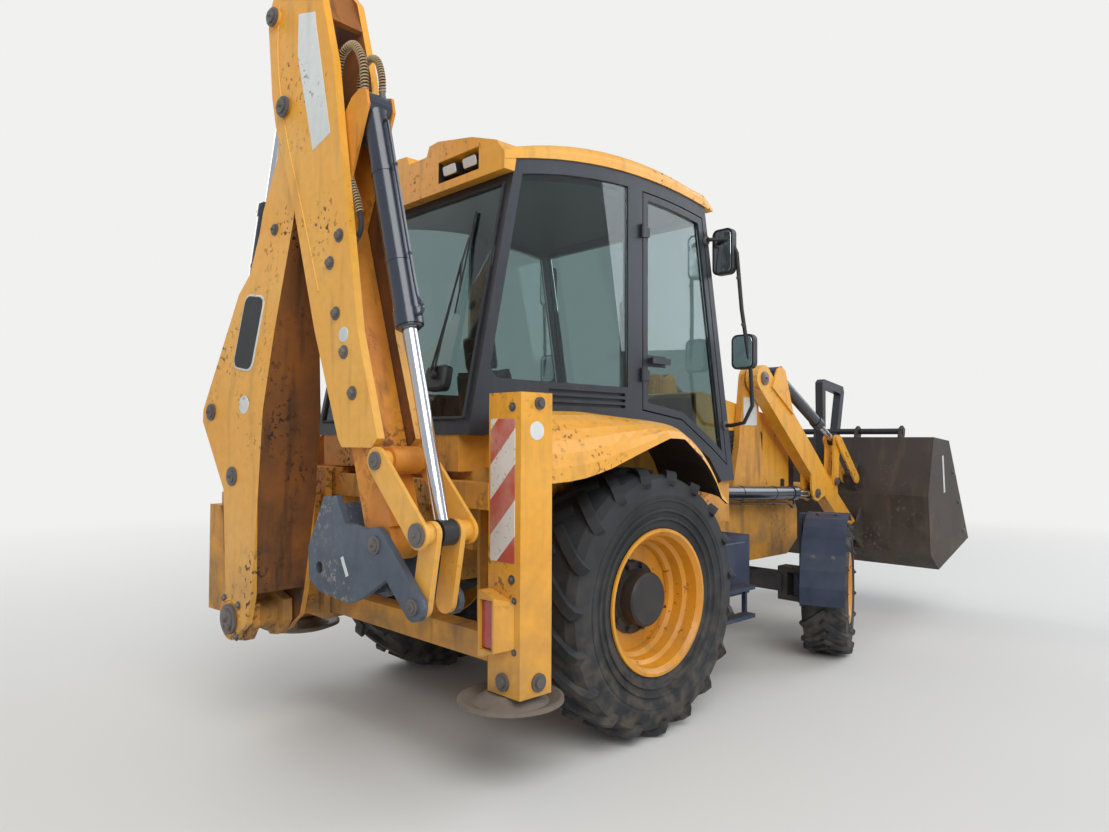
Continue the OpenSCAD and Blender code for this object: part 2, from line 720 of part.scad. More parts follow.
module seat() {
    color(dark) vehicle() {
        block([-250, -240, floor_z], [250, 240, floor_z + 180]);
        translate([0, 0, floor_z + 180]) block([-270, -250, 0], [270, 250, 130]);
        plate([[-300, floor_z + 310], [-170, floor_z + 310], [-260, floor_z + 900], [-370, floor_z + 900]],
              -240, 480);
        plate([[-330, floor_z + 910], [-270, floor_z + 910], [-310, floor_z + 1110], [-390, floor_z + 1110]],
              -130, 260);
        block([-320, -30, floor_z + 890], [-290, 30, floor_z + 920]);
    }
}

module console() {
    color(dark) vehicle() {
        block([900, -300, floor_z], [1150, 300, floor_z + 330]);
        plate([[860, floor_z + 330], [960, floor_z + 330], [742, floor_z + 736], [682, floor_z + 706]], -50,
              100);
        translate([715, 0, floor_z + 715]) rotate([0, -30, 0]) difference() {
            cylinder(h = 26, r = 200, $fn = fine);
            translate([0, 0, -1]) cylinder(h = 28, r = 174, $fn = fine);
        }
        translate([715, 0, floor_z + 715]) rotate([0, -30, 0]) block([-180, -20, 0], [180, 20, 20]);
        // backhoe levers and their tower behind the seat
        block([-870, -260, floor_z], [-640, 260, floor_z + 420]);
        for (y = [-180, -60, 60, 180]) translate([-740, y, floor_z + 419]) cylinder(h = 260, r = 11,
                $fn = 16);
    }
}

module hood() {
    low = 1130 + fit;
    shell = [[1430, low], [1290, 1640], [1290, 1890], [1350, 1905], [2250, 1760], [2560, 1640], [2560, low]];
    hollow = [[1429, low - 1], [1289, 1639], [1289, 1860], [1350, 1875], [2240, 1732], [2561, 1606], [2561,
            low - 1]];
    color(yellow) vehicle() {
        difference() {
            plate(shell, -400, 800);
            plate(hollow, -376, 752);
            // notch round the exhaust
            block([1280, 270, 1130], [1460, 401, 1910]);
        }
        both_sides() {
            bar_y(hood_hinge, 12, 180, 280);
            block([2540, 180, 1610], [2580, 240, 1634]);
        }
    }
}

module grille() {
    color(dark) vehicle() {
        difference() {
            block([2566, -400, 1130 + fit], [2640, 400, 1600]);
            block([2600, -340, 1180], [2641, 340, 1540]);
        }
        for (z = [1200 : 40 : 1520]) block([2600, -340, z], [2625, 340, z + 14]);
        both_sides() {
            translate([2600, 250, 1430]) rotate([0, 90, 0]) cylinder(h = 36, r = 75, $fn = fine);
            difference() {
                block([2573, 246, 1599], [2600, 272, 1640]);
                bar_y(hood_hinge, 12 + fit, 200, 300);
            }
        }
    }
}

module side_boxes() {
    color(dark) vehicle() both_sides() {
        block([742, rail_y + fit, 560], [1240, 860, 940]);
        block([780, 859, 600], [1180, 940, 625]);
        block([780, 859, 420], [1180, 940, 445]);
        for (x = [780, 1160]) block([x, 850, 420], [x + 20, 880, 620]);
    }
}

module exhaust() {
    color(dark) vehicle() {
        translate([1370, 335, 1131]) cylinder(h = 1500, r = 40, $fn = 32);
        block([1300, 290, 1120], [1440, 375, 1132]);
        block([1340, 320, 1075], [1410, rail_y - rail_t - fit, 1131]);
    }
}

// Rounded mirror head in a plane across the machine, as [y, z] of its middle and half sizes
module mirror_head(x, middle, half, t) {
    corner = 40;
    translate([x, 0, 0]) rotate([90, 0, 90]) linear_extrude(height = t) polygon([
        for (q = [[1, 1, 0], [-1, 1, 90], [-1, -1, 180], [1, -1, 270]])
            each arc([middle[0] + q[0] * (half[0] - corner), middle[1] + q[1] * (half[1] - corner)],
                     corner, q[2], q[2] + 90, 5)]);
}

module mirrors() {
    face = cab_w / 2;
    rail = [[922, face + fit, 2850], [922, 775, 2850], [1005, 880, 2850], [1030, 907, 2760], [1060, 922,
            2400],
            [1100, 962, 2000], [1128, 955, 1780], [1135, 890, 1672], [1135, 790, 1655], [1135, face + fit,
                    1655]];
    color(dark) vehicle() both_sides() {
        tube_run(rail, 13);
        mirror_head(985, [826, 2775], [76, 148], 48);
        mirror_head(1082, [912, 2128], [82, 112], 46);
    }
}

// Loader

module loader_arms() {
    outline = concat(arc(arm_pivot, 100, 60, 240, 8),
                     [[2560, 1320], [2900, 1040]],
                     arc(bucket_pin, 80, 220, 400, 8),
                     [[3055, 1110], [2680, 1460]]);
    color(yellow) vehicle() {
        both_sides() difference() {
            union() {
                plate(outline, arm_y - arm_w / 2, arm_w);
                plate([[2950, 1100], [3120, 1020], [3078, 1230], [3030, 1265], [2982, 1230]],
                      arm_y - 28 + fit, 56 - 2 * fit);
                for (y = [-65, 49]) plate([[1990, 1960], [2300, 1760], [2180, 2090], [2120, 2125],
                                           [2070, 2100]], arm_y + y, 16);
                for (y = [-50, 33])
                    plate([[2600, 1330], [2860, 1120], [2770, 1088], [2700, 1066], [2640, 1090],
                           [2612, 1170]], arm_y + y, 17);
                bar_y(tilt_base, 26, arm_y - 50, arm_y + 50);
            }
            bar_y(arm_pivot, loader_pin_r + fit, 0, 700);
            bar_y(bucket_pin, loader_pin_r + fit, 0, 700);
            bar_y(lever_pivot, 24 + fit, 0, 700);
            // slot for the lift ram's eye
            plate([[2630, 1215], [2840, 1200], [2870, 1000], [2630, 1000]], arm_y - 33, 66);
        }
        bar_y([2960, 1130], 70, -arm_y + arm_w / 2 - 1, arm_y - arm_w / 2 + 1);
    }
}

module lift_tubes() {
    color(dark) vehicle() both_sides() translate([0, arm_y, 0])
        ram_tube(lift_base, lift_eye, 52, 1120, 30, 1030, 62, 60, 32);
}

module lift_rods() {
    color(chrome) vehicle() both_sides() translate([0, arm_y, 0])
        ram_rod(lift_base, lift_eye, 30, 300, 50, 56, 22, 58);
}

module tilt_tubes() {
    color(dark) vehicle() both_sides() translate([0, arm_y, 0])
        ram_tube(tilt_base, lever_top, 45, 800, 26, 680, 52, 88, 26);
}

module tilt_rods() {
    color(chrome) vehicle() both_sides() translate([0, arm_y, 0])
        ram_rod(tilt_base, lever_top, 26, 400, 42, 50, 20, 54);
}

module tilt_levers() {
    color(yellow) vehicle() both_sides() {
        for (y = [arm_y - 44, arm_y + 28]) link_plate(lever_pivot, lever_top, 48, y, 16);
        bar_y(lever_pivot, 24, arm_y - 48, arm_y + 48);
        // stub pins that carry the links
        for (y = [-66, 43]) bar_y(lever_top, 20, arm_y + y, arm_y + y + 23);
        for (y = [-50 + fit, 43]) bar_y(lever_top, 32, arm_y + y, arm_y + y + 7 - fit);
    }
}

module tilt_links() {
    color(yellow) vehicle() both_sides() {
        for (y = [-66, 50]) difference() {
            link_plate(lever_top, link_end, 42, arm_y + y, 16);
            bar_y(lever_top, 20 + fit, 400, 700);
        }
        for (y = [-70, 46]) bar_y(link_end, 24, arm_y + y, arm_y + y + 24);
    }
}

module loader_bucket() {
    // outline of the bucket's side, from the top of its back round to the lip
    back_top = [3560, 1590];
    heel = [3470, 620];
    floor_in = [3640, 480];
    lip = [4340, 690];
    nose = [3900, 1560];
    half = bucket_w / 2;
    shell = [back_top, [3430, 1100], heel, floor_in, lip, [4330, 712], [3648, 506], [3492, 634], [3453,
            1100], [3582, 1582]];
    color(bucket_grey) vehicle() {
        plate(shell, -half, bucket_w);
        both_sides() {
            plate([back_top, [3430, 1100], heel, floor_in, lip, nose], half - bucket_plate, bucket_plate);
            for (y = [arm_y - arm_w / 2 - 27, arm_y + arm_w / 2 + 5])
                plate([[3460, 1000], [3475, 600], [3360, 700], [3260, 760], [3260, 830], [3360, 860]], y, 22);
            plate([[3475, 1360], [3450, 1100], [3400, 1150], [3340, 1210], [3342, 1258], [3390, 1280]],
                  arm_y - 40, 80);
            // ears that carry the shaft of the forks
            for (y = [90, 480, 870]) difference() {
                plate([[3540, 1500], [3580, 1490], [3666, 1605], [3674, 1662], [3630, 1690], [3586, 1665]],
                      y, 24);
                bar_y(fork_pin, 26 + fit, 0, 900);
            }
        }
    }
    color(bucket_grey) vehicle() both_sides() bar_y(bucket_pin, loader_pin_r, arm_y - 77, arm_y + 77);
}

module pallet_forks() {
    tine = [[3600, 1600], [3665, 1600], [3760, 2010], [3740, 2060], [3380, 2110], [3340, 2080], [3350, 1250],
            [3370, 1120],
            [3390, 1250], [3400, 2040], [3690, 1990]];
    color(dark) vehicle() {
        both_sides() plate(tine, 230, 70);
        bar_y(fork_pin, 26, -900, 900);
    }
}

// Backhoe

module carriage() {
    back = -frame_back - 6;
    half = 255;
    mid = kingpost_shift;
    post = [-kingpost_back, mid];
    color(yellow) vehicle() {
        union() {
            // strip that slides on the frame's top rail
            block([-frame_back + 10, mid - half, frame_top + fit], [-frame_back + rail_d - 10, mid + half,
                                                                    frame_top + 6]);
            block([back - 40, mid - half, frame_bottom - 35], [back, mid + half, frame_top + 35]);
            block([back - 1, mid - half, frame_top + 5], [-frame_back + rail_d + 20, mid + half,
                                                          frame_top + 35]);
            block([-frame_back + rail_d + 5, mid - half, frame_top - 25], [-frame_back + rail_d + 20,
                    mid + half, frame_top + 6]);
            block([back - 1, mid - half, frame_bottom - 35], [-frame_back + rail_d + 20, mid + half,
                                                              frame_bottom - 5]);
            block([-frame_back + rail_d + 5, mid - half, frame_bottom - 6], [-frame_back + rail_d + 20,
                    mid + half, frame_bottom + 25]);
            for (z = [560, 1200]) {
                translate([0, 0, z]) linear_extrude(height = 60)
                    polygon([[back - 39, mid - 200], [back - 39, mid + 200], [post[0], mid + 80],
                             [post[0], mid - 80]]);
                translate([post[0], mid, z]) cylinder(h = 60, r = 80, $fn = fine);
            }
            for (y = [-190, 160]) block([back - 130, mid + y, 600], [back - 39, mid + y + 30, 1210]);
        }
    }
    color(steel) vehicle() {
        translate([post[0], mid, 1080]) cylinder(h = 195, r = 38, $fn = fine);
        translate([post[0], mid, 545]) cylinder(h = 155, r = 38, $fn = fine);
    }
}

module kingpost() {
    cheek = [[-75, 625], [-75, 1195], [45, 1195], [75, 1130], [85, 960], [200, 760], [380, 700], [385, 590],
             [330, 510],
             [250, 500], [172, 560], [142, 625]];
    color(yellow) hoe_frame() {
        difference() {
            union() {
                for (y = [-118, 65]) plate(cheek, y, 53);
                translate([0, 0, 1080]) cylinder(h = 115, r = 70, $fn = fine);
                translate([0, 0, 625]) cylinder(h = 80, r = 85, $fn = fine);
                block([-75, -118, 625], [-45, 118, 1195]);
            }
            translate([0, 0, 500]) cylinder(h = 300, r = 38 + fit, $fn = fine);
            translate([0, 0, 1070]) cylinder(h = 200, r = 38 + fit, $fn = fine);
        }
        bar_y(boom_foot, 45, -boom_half_foot - 6, boom_half_foot + 6);
        bar_y(boom_foot, 75, -boom_half_foot + boom_plate + 5 + fit, boom_half_foot - boom_plate - 5 - fit);
        bar_y(boom_ram_base, 30, -66, 66);
    }
}

// Front view of the boom's taper, as [y, z]
function taper(inset) = [[-boom_half_foot + inset, 300], [-boom_half_foot + inset, 1700],
                         [-boom_half_tip + inset, 2640],
    [-boom_half_tip + inset, 3500], [boom_half_tip - inset, 3500], [boom_half_tip - inset, 2640],
    [boom_half_foot - inset, 1700], [boom_half_foot - inset, 300]];

module tapered(points, inset) {
    intersection() {
        plate(points, -200, 400);
        translate([-400, 0, 0]) rotate([90, 0, 90]) linear_extrude(height = 1600) polygon(taper(inset));
    }
}

module boom() {
    outline = concat([[150, 640], [205, 760], [165, 1290], [-80, 1650], [-78, 1720], [190, 2330],
                      [285, 2425], [378, 2745],
                      [515, 3000]],
                     arc(boom_tip, 115, 165, -10, 8),
                     [[760, 3000], [680, 2690], [594, 2094], [545, 1550], [520, 1249], [470, 760], [430,
                             620]],
                     arc(boom_foot, 110, -30, -170, 6));
    trough = [[100, 300], [100, 1250], [-160, 1650], [-160, 1740], [60, 2440], [292, 2440], [266, 2330],
              [170, 1960],
              [150, 1820], [210, 1600], [500, 1520], [490, 1249], [440, 780], [600, 740], [600, 300]];
    color(yellow) hoe_frame() difference() {
        union() {
            tapered(outline, 0);
            bar_y(boom_foot, 95, -boom_half_foot, boom_half_foot);
        }
        tapered(trough, boom_plate);
        bar_y(boom_foot, 45 + fit, -300, 300);
        bar_y(boom_tip, 36 + fit, -300, 300);
        bar_y(boom_foot, 130, -boom_half_foot + boom_plate + 5, boom_half_foot - boom_plate - 5);
    }
    color(yellow) hoe_frame() {
        bar_y(dipper_ram_base, 32, -boom_half_foot + boom_plate - 1, boom_half_foot - boom_plate + 1);
        for (y = [-136, 106]) bar_y(boom_ram_eye, 55, y, y + 30);
    }
}

module dipper() {
    outline = [[532, 3810], [485, 3720], [536, 3290], [579, 3120], [749, 2700], [948, 2070], [1150, 1560],
               [1180, 1520],
               [1400, 1520], [1444, 1560], [1291, 2040], [1196, 2610], [1133, 2980], [1078, 3320], [960,
                       3720], [860, 3830]];
    inner_face = dipper_half - dipper_plate;
    color(yellow) hoe_frame() {
        for (y = [-dipper_half, inner_face]) plate(outline, y, dipper_plate);
        plate([[749, 2640], [760, 2570], [948, 2070], [1150, 1560], [1170, 1565], [968, 2076], [778, 2590]],
              -inner_face - 1, 2 * inner_face + 2);
        plate([[880, 3740], [900, 3790], [1010, 3560], [985, 3550]], -inner_face - 1, 2 * inner_face + 2);
        // spacers beside the boom's tip, and bosses outside the ram's eye
        for (y = [-inner_face, boom_half_tip + fit]) bar_y(boom_tip, 60, y,
                                                           y + inner_face - boom_half_tip - fit);
        for (y = [-dipper_half - 15, dipper_half - 1]) bar_y(dipper_ram_eye, 50, y, y + 16);
        bar_y(boom_tip, 36, -dipper_half - 12, dipper_half + 12);
    }
}

// Frame with Z along the inner dipper, from the pin at its lower end
module inner_frame() {
    hoe_frame() translate([dipper_end[0], 0, dipper_end[1]]) rotate([0, dipper_angle, 0]) children();
}

module inner_dipper() {
    half = 80;
    color("#C97A1E") {
        inner_frame() difference() {
            union() {
                block([-inner_depth / 2, -half, 60], [inner_depth / 2, half, inner_len]);
                rotate([90, 0, 0]) cylinder(h = 2 * half, r = 75, center = true, $fn = fine);
                block([-75, -half, 0], [75, half, 61]);
            }
            block([-inner_depth / 2 + 14, -half + 14, 300], [inner_depth / 2 - 14, half - 14, inner_len + 1]);
            rotate([90, 0, 0]) cylinder(h = 400, r = 30 + fit, center = true, $fn = fine);
        }
        hoe_frame() {
            difference() {
                bar_y(lever_on_dipper, 62, -half, half);
                bar_y(lever_on_dipper, 28 + fit, -200, 200);
            }
            for (y = [-79, 64])
                plate([[900, 2560], [1075, 2560], [1285, 3080], [1270, 3150], [1220, 3165], [1160, 3140],
                       [880, 2840]], y, 15);
            bar_y(bucket_ram_base, 28, -78, 78);
        }
    }
}

module hitch() {
    side = concat(arc(hitch_pin, 62, 60, -120, 6),
                  [[1500, 960], [1330, 860], [1236, 824], [1000, 850], [915, 900], [905, 1045], [1030, 1290],
                   [1130, 1300],
                   [1200, 1180], [1300, 1170]],
                  arc(dipper_end, 78, 130, 50, 4));
    color(steel) hoe_frame() {
        difference() {
            union() {
                for (y = [-116, 86]) plate(side, y, 30);
                plate([[1000, 870], [1220, 844], [1180, 1120], [1060, 1260], [960, 1080]], -87, 174);
            }
            bar_y([1000, 960], 28, -200, 200);
        }
        bar_y(dipper_end, 30, -87, 87);
        for (y = [-87, 80 + fit]) bar_y(dipper_end, 55, y, y + 7 - fit);
        for (y = [-118, 106]) bar_y(hitch_pin, 36, y, y + 12);
    }
}

module tipping_levers() {
    color(yellow) hoe_frame() {
        for (y = [-142, 124]) link_plate(lever_on_dipper, bucket_ram_eye, 60, y, 18);
        bar_y(lever_on_dipper, 28, -125, 125);
        for (y = [-125, 80 + fit]) bar_y(lever_on_dipper, 44, y, y + 45 - fit);
        // stub pins that carry the links
        for (y = [-125, 52]) bar_y(bucket_ram_eye, 30, y, y + 73);
        for (y = [-125, 80 + fit]) bar_y(bucket_ram_eye, 44, y, y + 45 - fit);
    }
}

module tipping_link() {
    color(yellow) hoe_frame() {
        for (y = [-80, 52]) difference() {
            link_plate(bucket_ram_eye, hitch_pin, 52, y, 28);
            bar_y(bucket_ram_eye, 30 + fit, y - 1, y + 30);
        }
    }
}

module boom_ram_tube() {
    color(dark) hoe_frame()
        ram_tube(boom_ram_base, boom_ram_eye, 50, 500, 30, 430, 58, 100, 30);
}

module boom_ram_rod() {
    color(chrome) hoe_frame() ram_rod(boom_ram_base, boom_ram_eye, 30, 80, 50, 90, 30, 200);
}

module dipper_ram_tube() {
    color(dark) hoe_frame()
        ram_tube(dipper_ram_base, dipper_ram_eye, 62, 1150, 35, 1060, 68, 100, 32);
}

module dipper_ram_rod() {
    color(chrome) hoe_frame() ram_rod(dipper_ram_base, dipper_ram_eye, 35, 1000, 60, 100, 34, 160);
}

module bucket_ram_tube() {
    color(dark) hoe_frame()
        ram_tube(bucket_ram_base, bucket_ram_eye, 58, 1084, 32, 950, 60, 120, 28);
}

module bucket_ram_rod() {
    color(chrome) hoe_frame() ram_rod(bucket_ram_base, bucket_ram_eye, 32, 600, 56, 80, 30, 90);
}

chassis();
engine_block();
rear_axle();
front_axle();
rear_frame();
tail_lamps();
cab_floor();
cab_frame();
cab_glass();
cab_roof();
rear_mudguards();
seat();
console();
grille();
side_boxes();
exhaust();
mirrors();
hood();
door_left();
door_right();
door_glass_left();
door_glass_right();
tyre_rear_left();
tyre_rear_right();
rim_rear_left();
rim_rear_right();
tyre_front_left();
tyre_front_right();
rim_front_left();
rim_front_right();
knuckle_left();
knuckle_right();
loader_arms();
lift_tubes();
lift_rods();
tilt_tubes();
tilt_rods();
tilt_levers();
tilt_links();
loader_bucket();
pallet_forks();
carriage();
kingpost();
boom();
dipper();
inner_dipper();
hitch();
tipping_levers();
tipping_link();
boom_ram_tube();
boom_ram_rod();
dipper_ram_tube();
dipper_ram_rod();
bucket_ram_tube();
bucket_ram_rod();
stabiliser_left();
stabiliser_right();
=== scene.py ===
# Looks of the backhoe loader: finishes, glass, rubber, hoses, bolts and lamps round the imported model
import math

import bmesh
import bpy
from mathutils import Matrix, Vector


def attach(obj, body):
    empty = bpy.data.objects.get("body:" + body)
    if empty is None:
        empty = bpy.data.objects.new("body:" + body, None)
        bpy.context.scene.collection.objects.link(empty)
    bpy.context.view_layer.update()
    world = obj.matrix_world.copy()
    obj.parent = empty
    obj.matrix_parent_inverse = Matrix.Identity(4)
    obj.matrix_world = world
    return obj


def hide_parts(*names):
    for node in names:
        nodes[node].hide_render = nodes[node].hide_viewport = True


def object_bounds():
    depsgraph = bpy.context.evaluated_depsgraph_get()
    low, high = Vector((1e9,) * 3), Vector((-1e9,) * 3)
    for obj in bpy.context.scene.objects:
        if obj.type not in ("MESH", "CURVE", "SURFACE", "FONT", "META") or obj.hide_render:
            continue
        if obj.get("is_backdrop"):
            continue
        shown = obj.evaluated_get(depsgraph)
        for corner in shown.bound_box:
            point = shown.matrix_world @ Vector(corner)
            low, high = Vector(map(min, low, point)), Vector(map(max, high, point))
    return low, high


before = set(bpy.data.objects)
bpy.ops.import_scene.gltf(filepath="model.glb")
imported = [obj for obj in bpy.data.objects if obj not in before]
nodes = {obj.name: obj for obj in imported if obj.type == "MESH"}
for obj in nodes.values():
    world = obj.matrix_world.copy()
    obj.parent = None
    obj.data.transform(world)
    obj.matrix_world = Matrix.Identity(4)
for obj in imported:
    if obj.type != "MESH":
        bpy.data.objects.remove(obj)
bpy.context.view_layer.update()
scene = bpy.context.scene
print("frame loaded:", len(nodes), "nodes")

# the drawing has its rear axle at x = 0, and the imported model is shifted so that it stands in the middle
layout = {
    "originX": 1.3318,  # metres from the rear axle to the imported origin
    "kingpost": (-1.505, 0.700),  # slew axis on the drawing
    "slewPastSquare": 5,  # degrees
}


def machine(x, y, z):
    # a point of the drawing, in metres
    return Vector((x - layout["originX"], y, z))


def alongBoom(s, y, z):
    # a point in the slewed boom's own plane: s outward, y across
    turn = math.radians(layout["slewPastSquare"] - 90)
    x = layout["kingpost"][0] + s * math.cos(turn) - y * math.sin(turn)
    return machine(x, layout["kingpost"][1] + s * math.sin(turn) + y * math.cos(turn), z)


outward = (alongBoom(1, 0, 0) - alongBoom(0, 0, 0)).normalized()
across = (alongBoom(0, 1, 0) - alongBoom(0, 0, 0)).normalized()
forward = Vector((1, 0, 0))
left = Vector((0, 1, 0))
up = Vector((0, 0, 1))
handed = ((-1, "Right"), (1, "Left"))  # sign of y and the side's name


def linear(hexValue):
    # sRGB hex to linear colour
    channels = [int(hexValue[i : i + 2], 16) / 255 for i in (1, 3, 5)]
    return [c / 12.92 if c <= 0.04045 else ((c + 0.055) / 1.055) ** 2.4 for c in channels] + [1.0]


def feed(tree, node, inputs):
    # a socket is linked, a hex colour is made linear and set, and any other value is set
    for name, value in inputs.items():
        if isinstance(value, bpy.types.NodeSocket):
            tree.links.new(value, node.inputs[name])
        else:
            node.inputs[name].default_value = linear(value) if isinstance(value, str) else value


def addNode(tree, kind, inputs=None, **settings):
    # one node with its settings, its values and its links
    node = tree.nodes.new("ShaderNode" + kind)
    for name, value in settings.items():
        setattr(node, name, value)
    feed(tree, node, inputs or {})
    return node


def newMaterial(name):
    # an empty material, its shader, and the object coordinates that all its textures read
    material = bpy.data.materials.new(name)
    material.use_nodes = True
    tree = material.node_tree
    tree.nodes.clear()
    output = addNode(tree, "OutputMaterial")
    shader = addNode(tree, "BsdfPrincipled")
    tree.links.new(shader.outputs[0], output.inputs[0])
    place = addNode(tree, "TexCoord").outputs["Object"]
    return material, tree, shader, place


def noiseMask(tree, place, scale, low, high, detail=4, stretch=(1, 1, 1), shift=0.0):
    # a soft blotch mask: 0 below low, 1 above high
    mapped = addNode(tree, "Mapping", {"Vector": place, "Scale": stretch, "Location": (shift, shift, 0)})
    noise = addNode(tree, "TexNoise", {"Vector": mapped.outputs[0], "Scale": scale, "Detail": detail})
    mask = addNode(tree, "MapRange", {"Value": noise.outputs[0], "From Min": low, "From Max": high})
    return mask.outputs[0]


def mixColour(tree, amount, first, second):
    # first where amount is 0, second where it is 1
    return addNode(tree, "Mix", {0: amount, 6: first, 7: second}, data_type="RGBA").outputs[2]


def math2(tree, operation, a, b):
    return addNode(tree, "Math", {0: a, 1: b}, operation=operation).outputs[0]


def multiply(tree, a, b):
    return math2(tree, "MULTIPLY", a, b)


def addBump(tree, shader, height, strength, distance):
    bump = addNode(tree, "Bump", {"Height": height, "Strength": strength, "Distance": distance})
    feed(tree, shader, {"Normal": bump.outputs[0]})


def fineNoise(tree, place, scale, detail):
    return addNode(tree, "TexNoise", {"Vector": place, "Scale": scale, "Detail": detail}).outputs[0]


# sizes of the enamel's marks, as noise scales in waves per metre
marks = {"fade": 1.6, "cloud": 22, "streak": 14, "patch": 2.4, "chip": 34, "rust": 90, "splash": 7, "peel": 240.0}


# enamel sprayed on steel plate: glossy where clean, faded, chipped to brown rust and streaked with mud
def wornEnamel(name, look):
    material, tree, shader, place = newMaterial(name)
    height = addNode(tree, "SeparateXYZ", {0: place}).outputs["Z"]
    faded = noiseMask(tree, place, marks["fade"], 0.35, 0.7)
    cloudy = noiseMask(tree, place, marks["cloud"], 0.3, 0.75, 6, shift=3.1)
    colour = mixColour(tree, faded, look["paint"], look["faded"])
    colour = mixColour(tree, multiply(tree, cloudy, 0.16), colour, look["grime"])
    # rain streaks run down: the noise is drawn out eight times along z
    streaks = noiseMask(tree, place, marks["streak"], 0.54, 0.78, 5, (1, 1, 0.12), 7.7)
    colour = mixColour(tree, multiply(tree, streaks, look["streaks"]), colour, look["grime"])
    # chips 3 to 20 mm across, in patches
    patch = noiseMask(tree, place, marks["patch"], 0.5, 0.66, 3, shift=12.3)
    edge = 0.62 - look["chips"]
    chip = noiseMask(tree, place, marks["chip"], edge, edge + 0.04, 7, shift=5.9)
    chipped = multiply(tree, chip, patch)
    mottled = noiseMask(tree, place, marks["rust"], 0.35, 0.65)
    rustTone = mixColour(tree, mottled, look["rust"], look["rustDark"])
    colour = mixColour(tree, chipped, colour, rustTone)
    # splashed mud from the ground up
    splash = noiseMask(tree, place, marks["splash"], 0.25, 0.8, 8, shift=9.2)
    reach = {"Value": height, "From Min": look["mudTop"], "From Max": look["mudTop"] * 0.25}
    low = addNode(tree, "MapRange", reach)
    muddy = multiply(tree, multiply(tree, low.outputs[0], splash), look["mud"])
    colour = mixColour(tree, muddy, colour, look["mudTone"])
    rough = multiply(tree, math2(tree, "ADD", chipped, muddy), 0.45)
    rough = math2(tree, "ADD", rough, look["roughness"])
    rough = math2(tree, "ADD", rough, multiply(tree, cloudy, 0.12))
    # orange peel of the spray, 4 mm waves, and the step down into each chip
    peel = fineNoise(tree, place, marks["peel"], 2.0)
    relief = math2(tree, "SUBTRACT", multiply(tree, peel, 0.12), chipped)
    addBump(tree, shader, relief, 0.35, 0.002)
    feed(tree, shader, {"Base Color": colour, "Roughness": rough, "Coat Weight": look["coat"], "Coat Roughness": 0.18})
    return material


machineYellow = {
    "paint": "#E8A22B", "faded": "#E9AE4B", "grime": "#8A6A35", "rust": "#6A3E22", "rustDark": "#2E1D14",
    "streaks": 0.45, "chips": 0.035, "mudTop": 1.25, "mud": 0.85, "mudTone": "#6E6152",
    "roughness": 0.36, "coat": 0.2,
}
rustyYellow = dict(machineYellow, faded="#C9792A", grime="#5A3A1E", streaks=0.85, chips=0.11, roughness=0.5,
                   coat=0.05)
muddyYellow = dict(machineYellow, faded="#D9963A", grime="#6B4E2A", streaks=0.8, chips=0.07, mudTop=2.0, mud=1.0,
                   roughness=0.5, coat=0.05)
rimYellow = dict(machineYellow, paint="#E39B14", faded="#D98E12", mudTop=1.4, mud=0.35, chips=0.0)
frameBlack = {
    "paint": "#1B2029", "faded": "#2A303B", "grime": "#454544", "rust": "#5A4636", "rustDark": "#2B211B",
    "streaks": 0.30, "chips": -0.02, "mudTop": 0.9, "mud": 0.8, "mudTone": "#6E6152",
    "roughness": 0.42, "coat": 0.1,
}
hitchGrey = dict(frameBlack, paint="#3C4756", faded="#55606E", grime="#2C2A28", rust="#8A8F96", rustDark="#5A5450",
                 chips=0.08)
bucketSteel = dict(frameBlack, paint="#2B2725", faded="#3B3230", grime="#5B4A3A", rust="#7A6A58", rustDark="#4A3A2E",
                   streaks=0.6, chips=0.05, mudTop=1.3, mud=0.7, roughness=0.55, coat=0.0)
padSteel = dict(bucketSteel, paint="#6B645C", faded="#857B70", grime="#5C5247")
# inside the boom and the dipper: painted shade, the yellow enamel of the shaded inner walls darkened to brown and
# darker still towards the bottom, under real mud and scrapes
shadedGrimyBrown = dict(machineYellow, paint="#9A5C1E", faded="#6A411E", grime="#2A211B", rust="#3F2819",
                  rustDark="#1C1613", streaks=0.95, chips=0.05, mudTop=2.7, mud=1.0, mudTone="#37302A",
                  roughness=0.6, coat=0.0)
ramPaint = dict(frameBlack, paint="#1B2230", faded="#2A3342", grime="#2C2A28", streaks=0.15, chips=-0.06, mud=0.3,
                roughness=0.16, coat=0.6)
hubBlack = dict(frameBlack, paint="#1A1B1E", faded="#26272A", grime="#3F3A33", roughness=0.55, mud=0.5)
boltSteel = dict(frameBlack, paint="#4C4A4B", faded="#6A6460", rust="#6B3F26", grime="#3A3430", chips=0.05,
                 roughness=0.4)
palePaint = dict(frameBlack, paint="#D9DEDC", faded="#C6CCCA", grime="#A39E92", streaks=0.25, chips=0.0, mud=0.4,
                 roughness=0.35)
enamel = wornEnamel("sprayedYellowEnamel", machineYellow)
# painted shade of the inner walls, brown and darker towards the bottom, with real mud and scrapes
shadedGrimyEnamel = wornEnamel("shadedGrimyInnerEnamel", shadedGrimyBrown)
ramEnamel = wornEnamel("glossyRamEnamel", ramPaint)
hubEnamel = wornEnamel("greasyHubEnamel", hubBlack)
fastenerSteel = wornEnamel("oiledFastenerSteel", boltSteel)
padMetal = wornEnamel("muddyPadSteel", padSteel)
paleFilm = wornEnamel("palePlateEnamel", palePaint)
rustyEnamel = wornEnamel("scrapedRustyEnamel", rustyYellow)
muddyEnamel = wornEnamel("muddyYellowEnamel", muddyYellow)
rimEnamel = wornEnamel("wheelRimEnamel", rimYellow)
blackEnamel = wornEnamel("satinBlackEnamel", frameBlack)
greyEnamel = wornEnamel("castHitchEnamel", hitchGrey)
scrapedSteel = wornEnamel("earthScrapedSteel", bucketSteel)


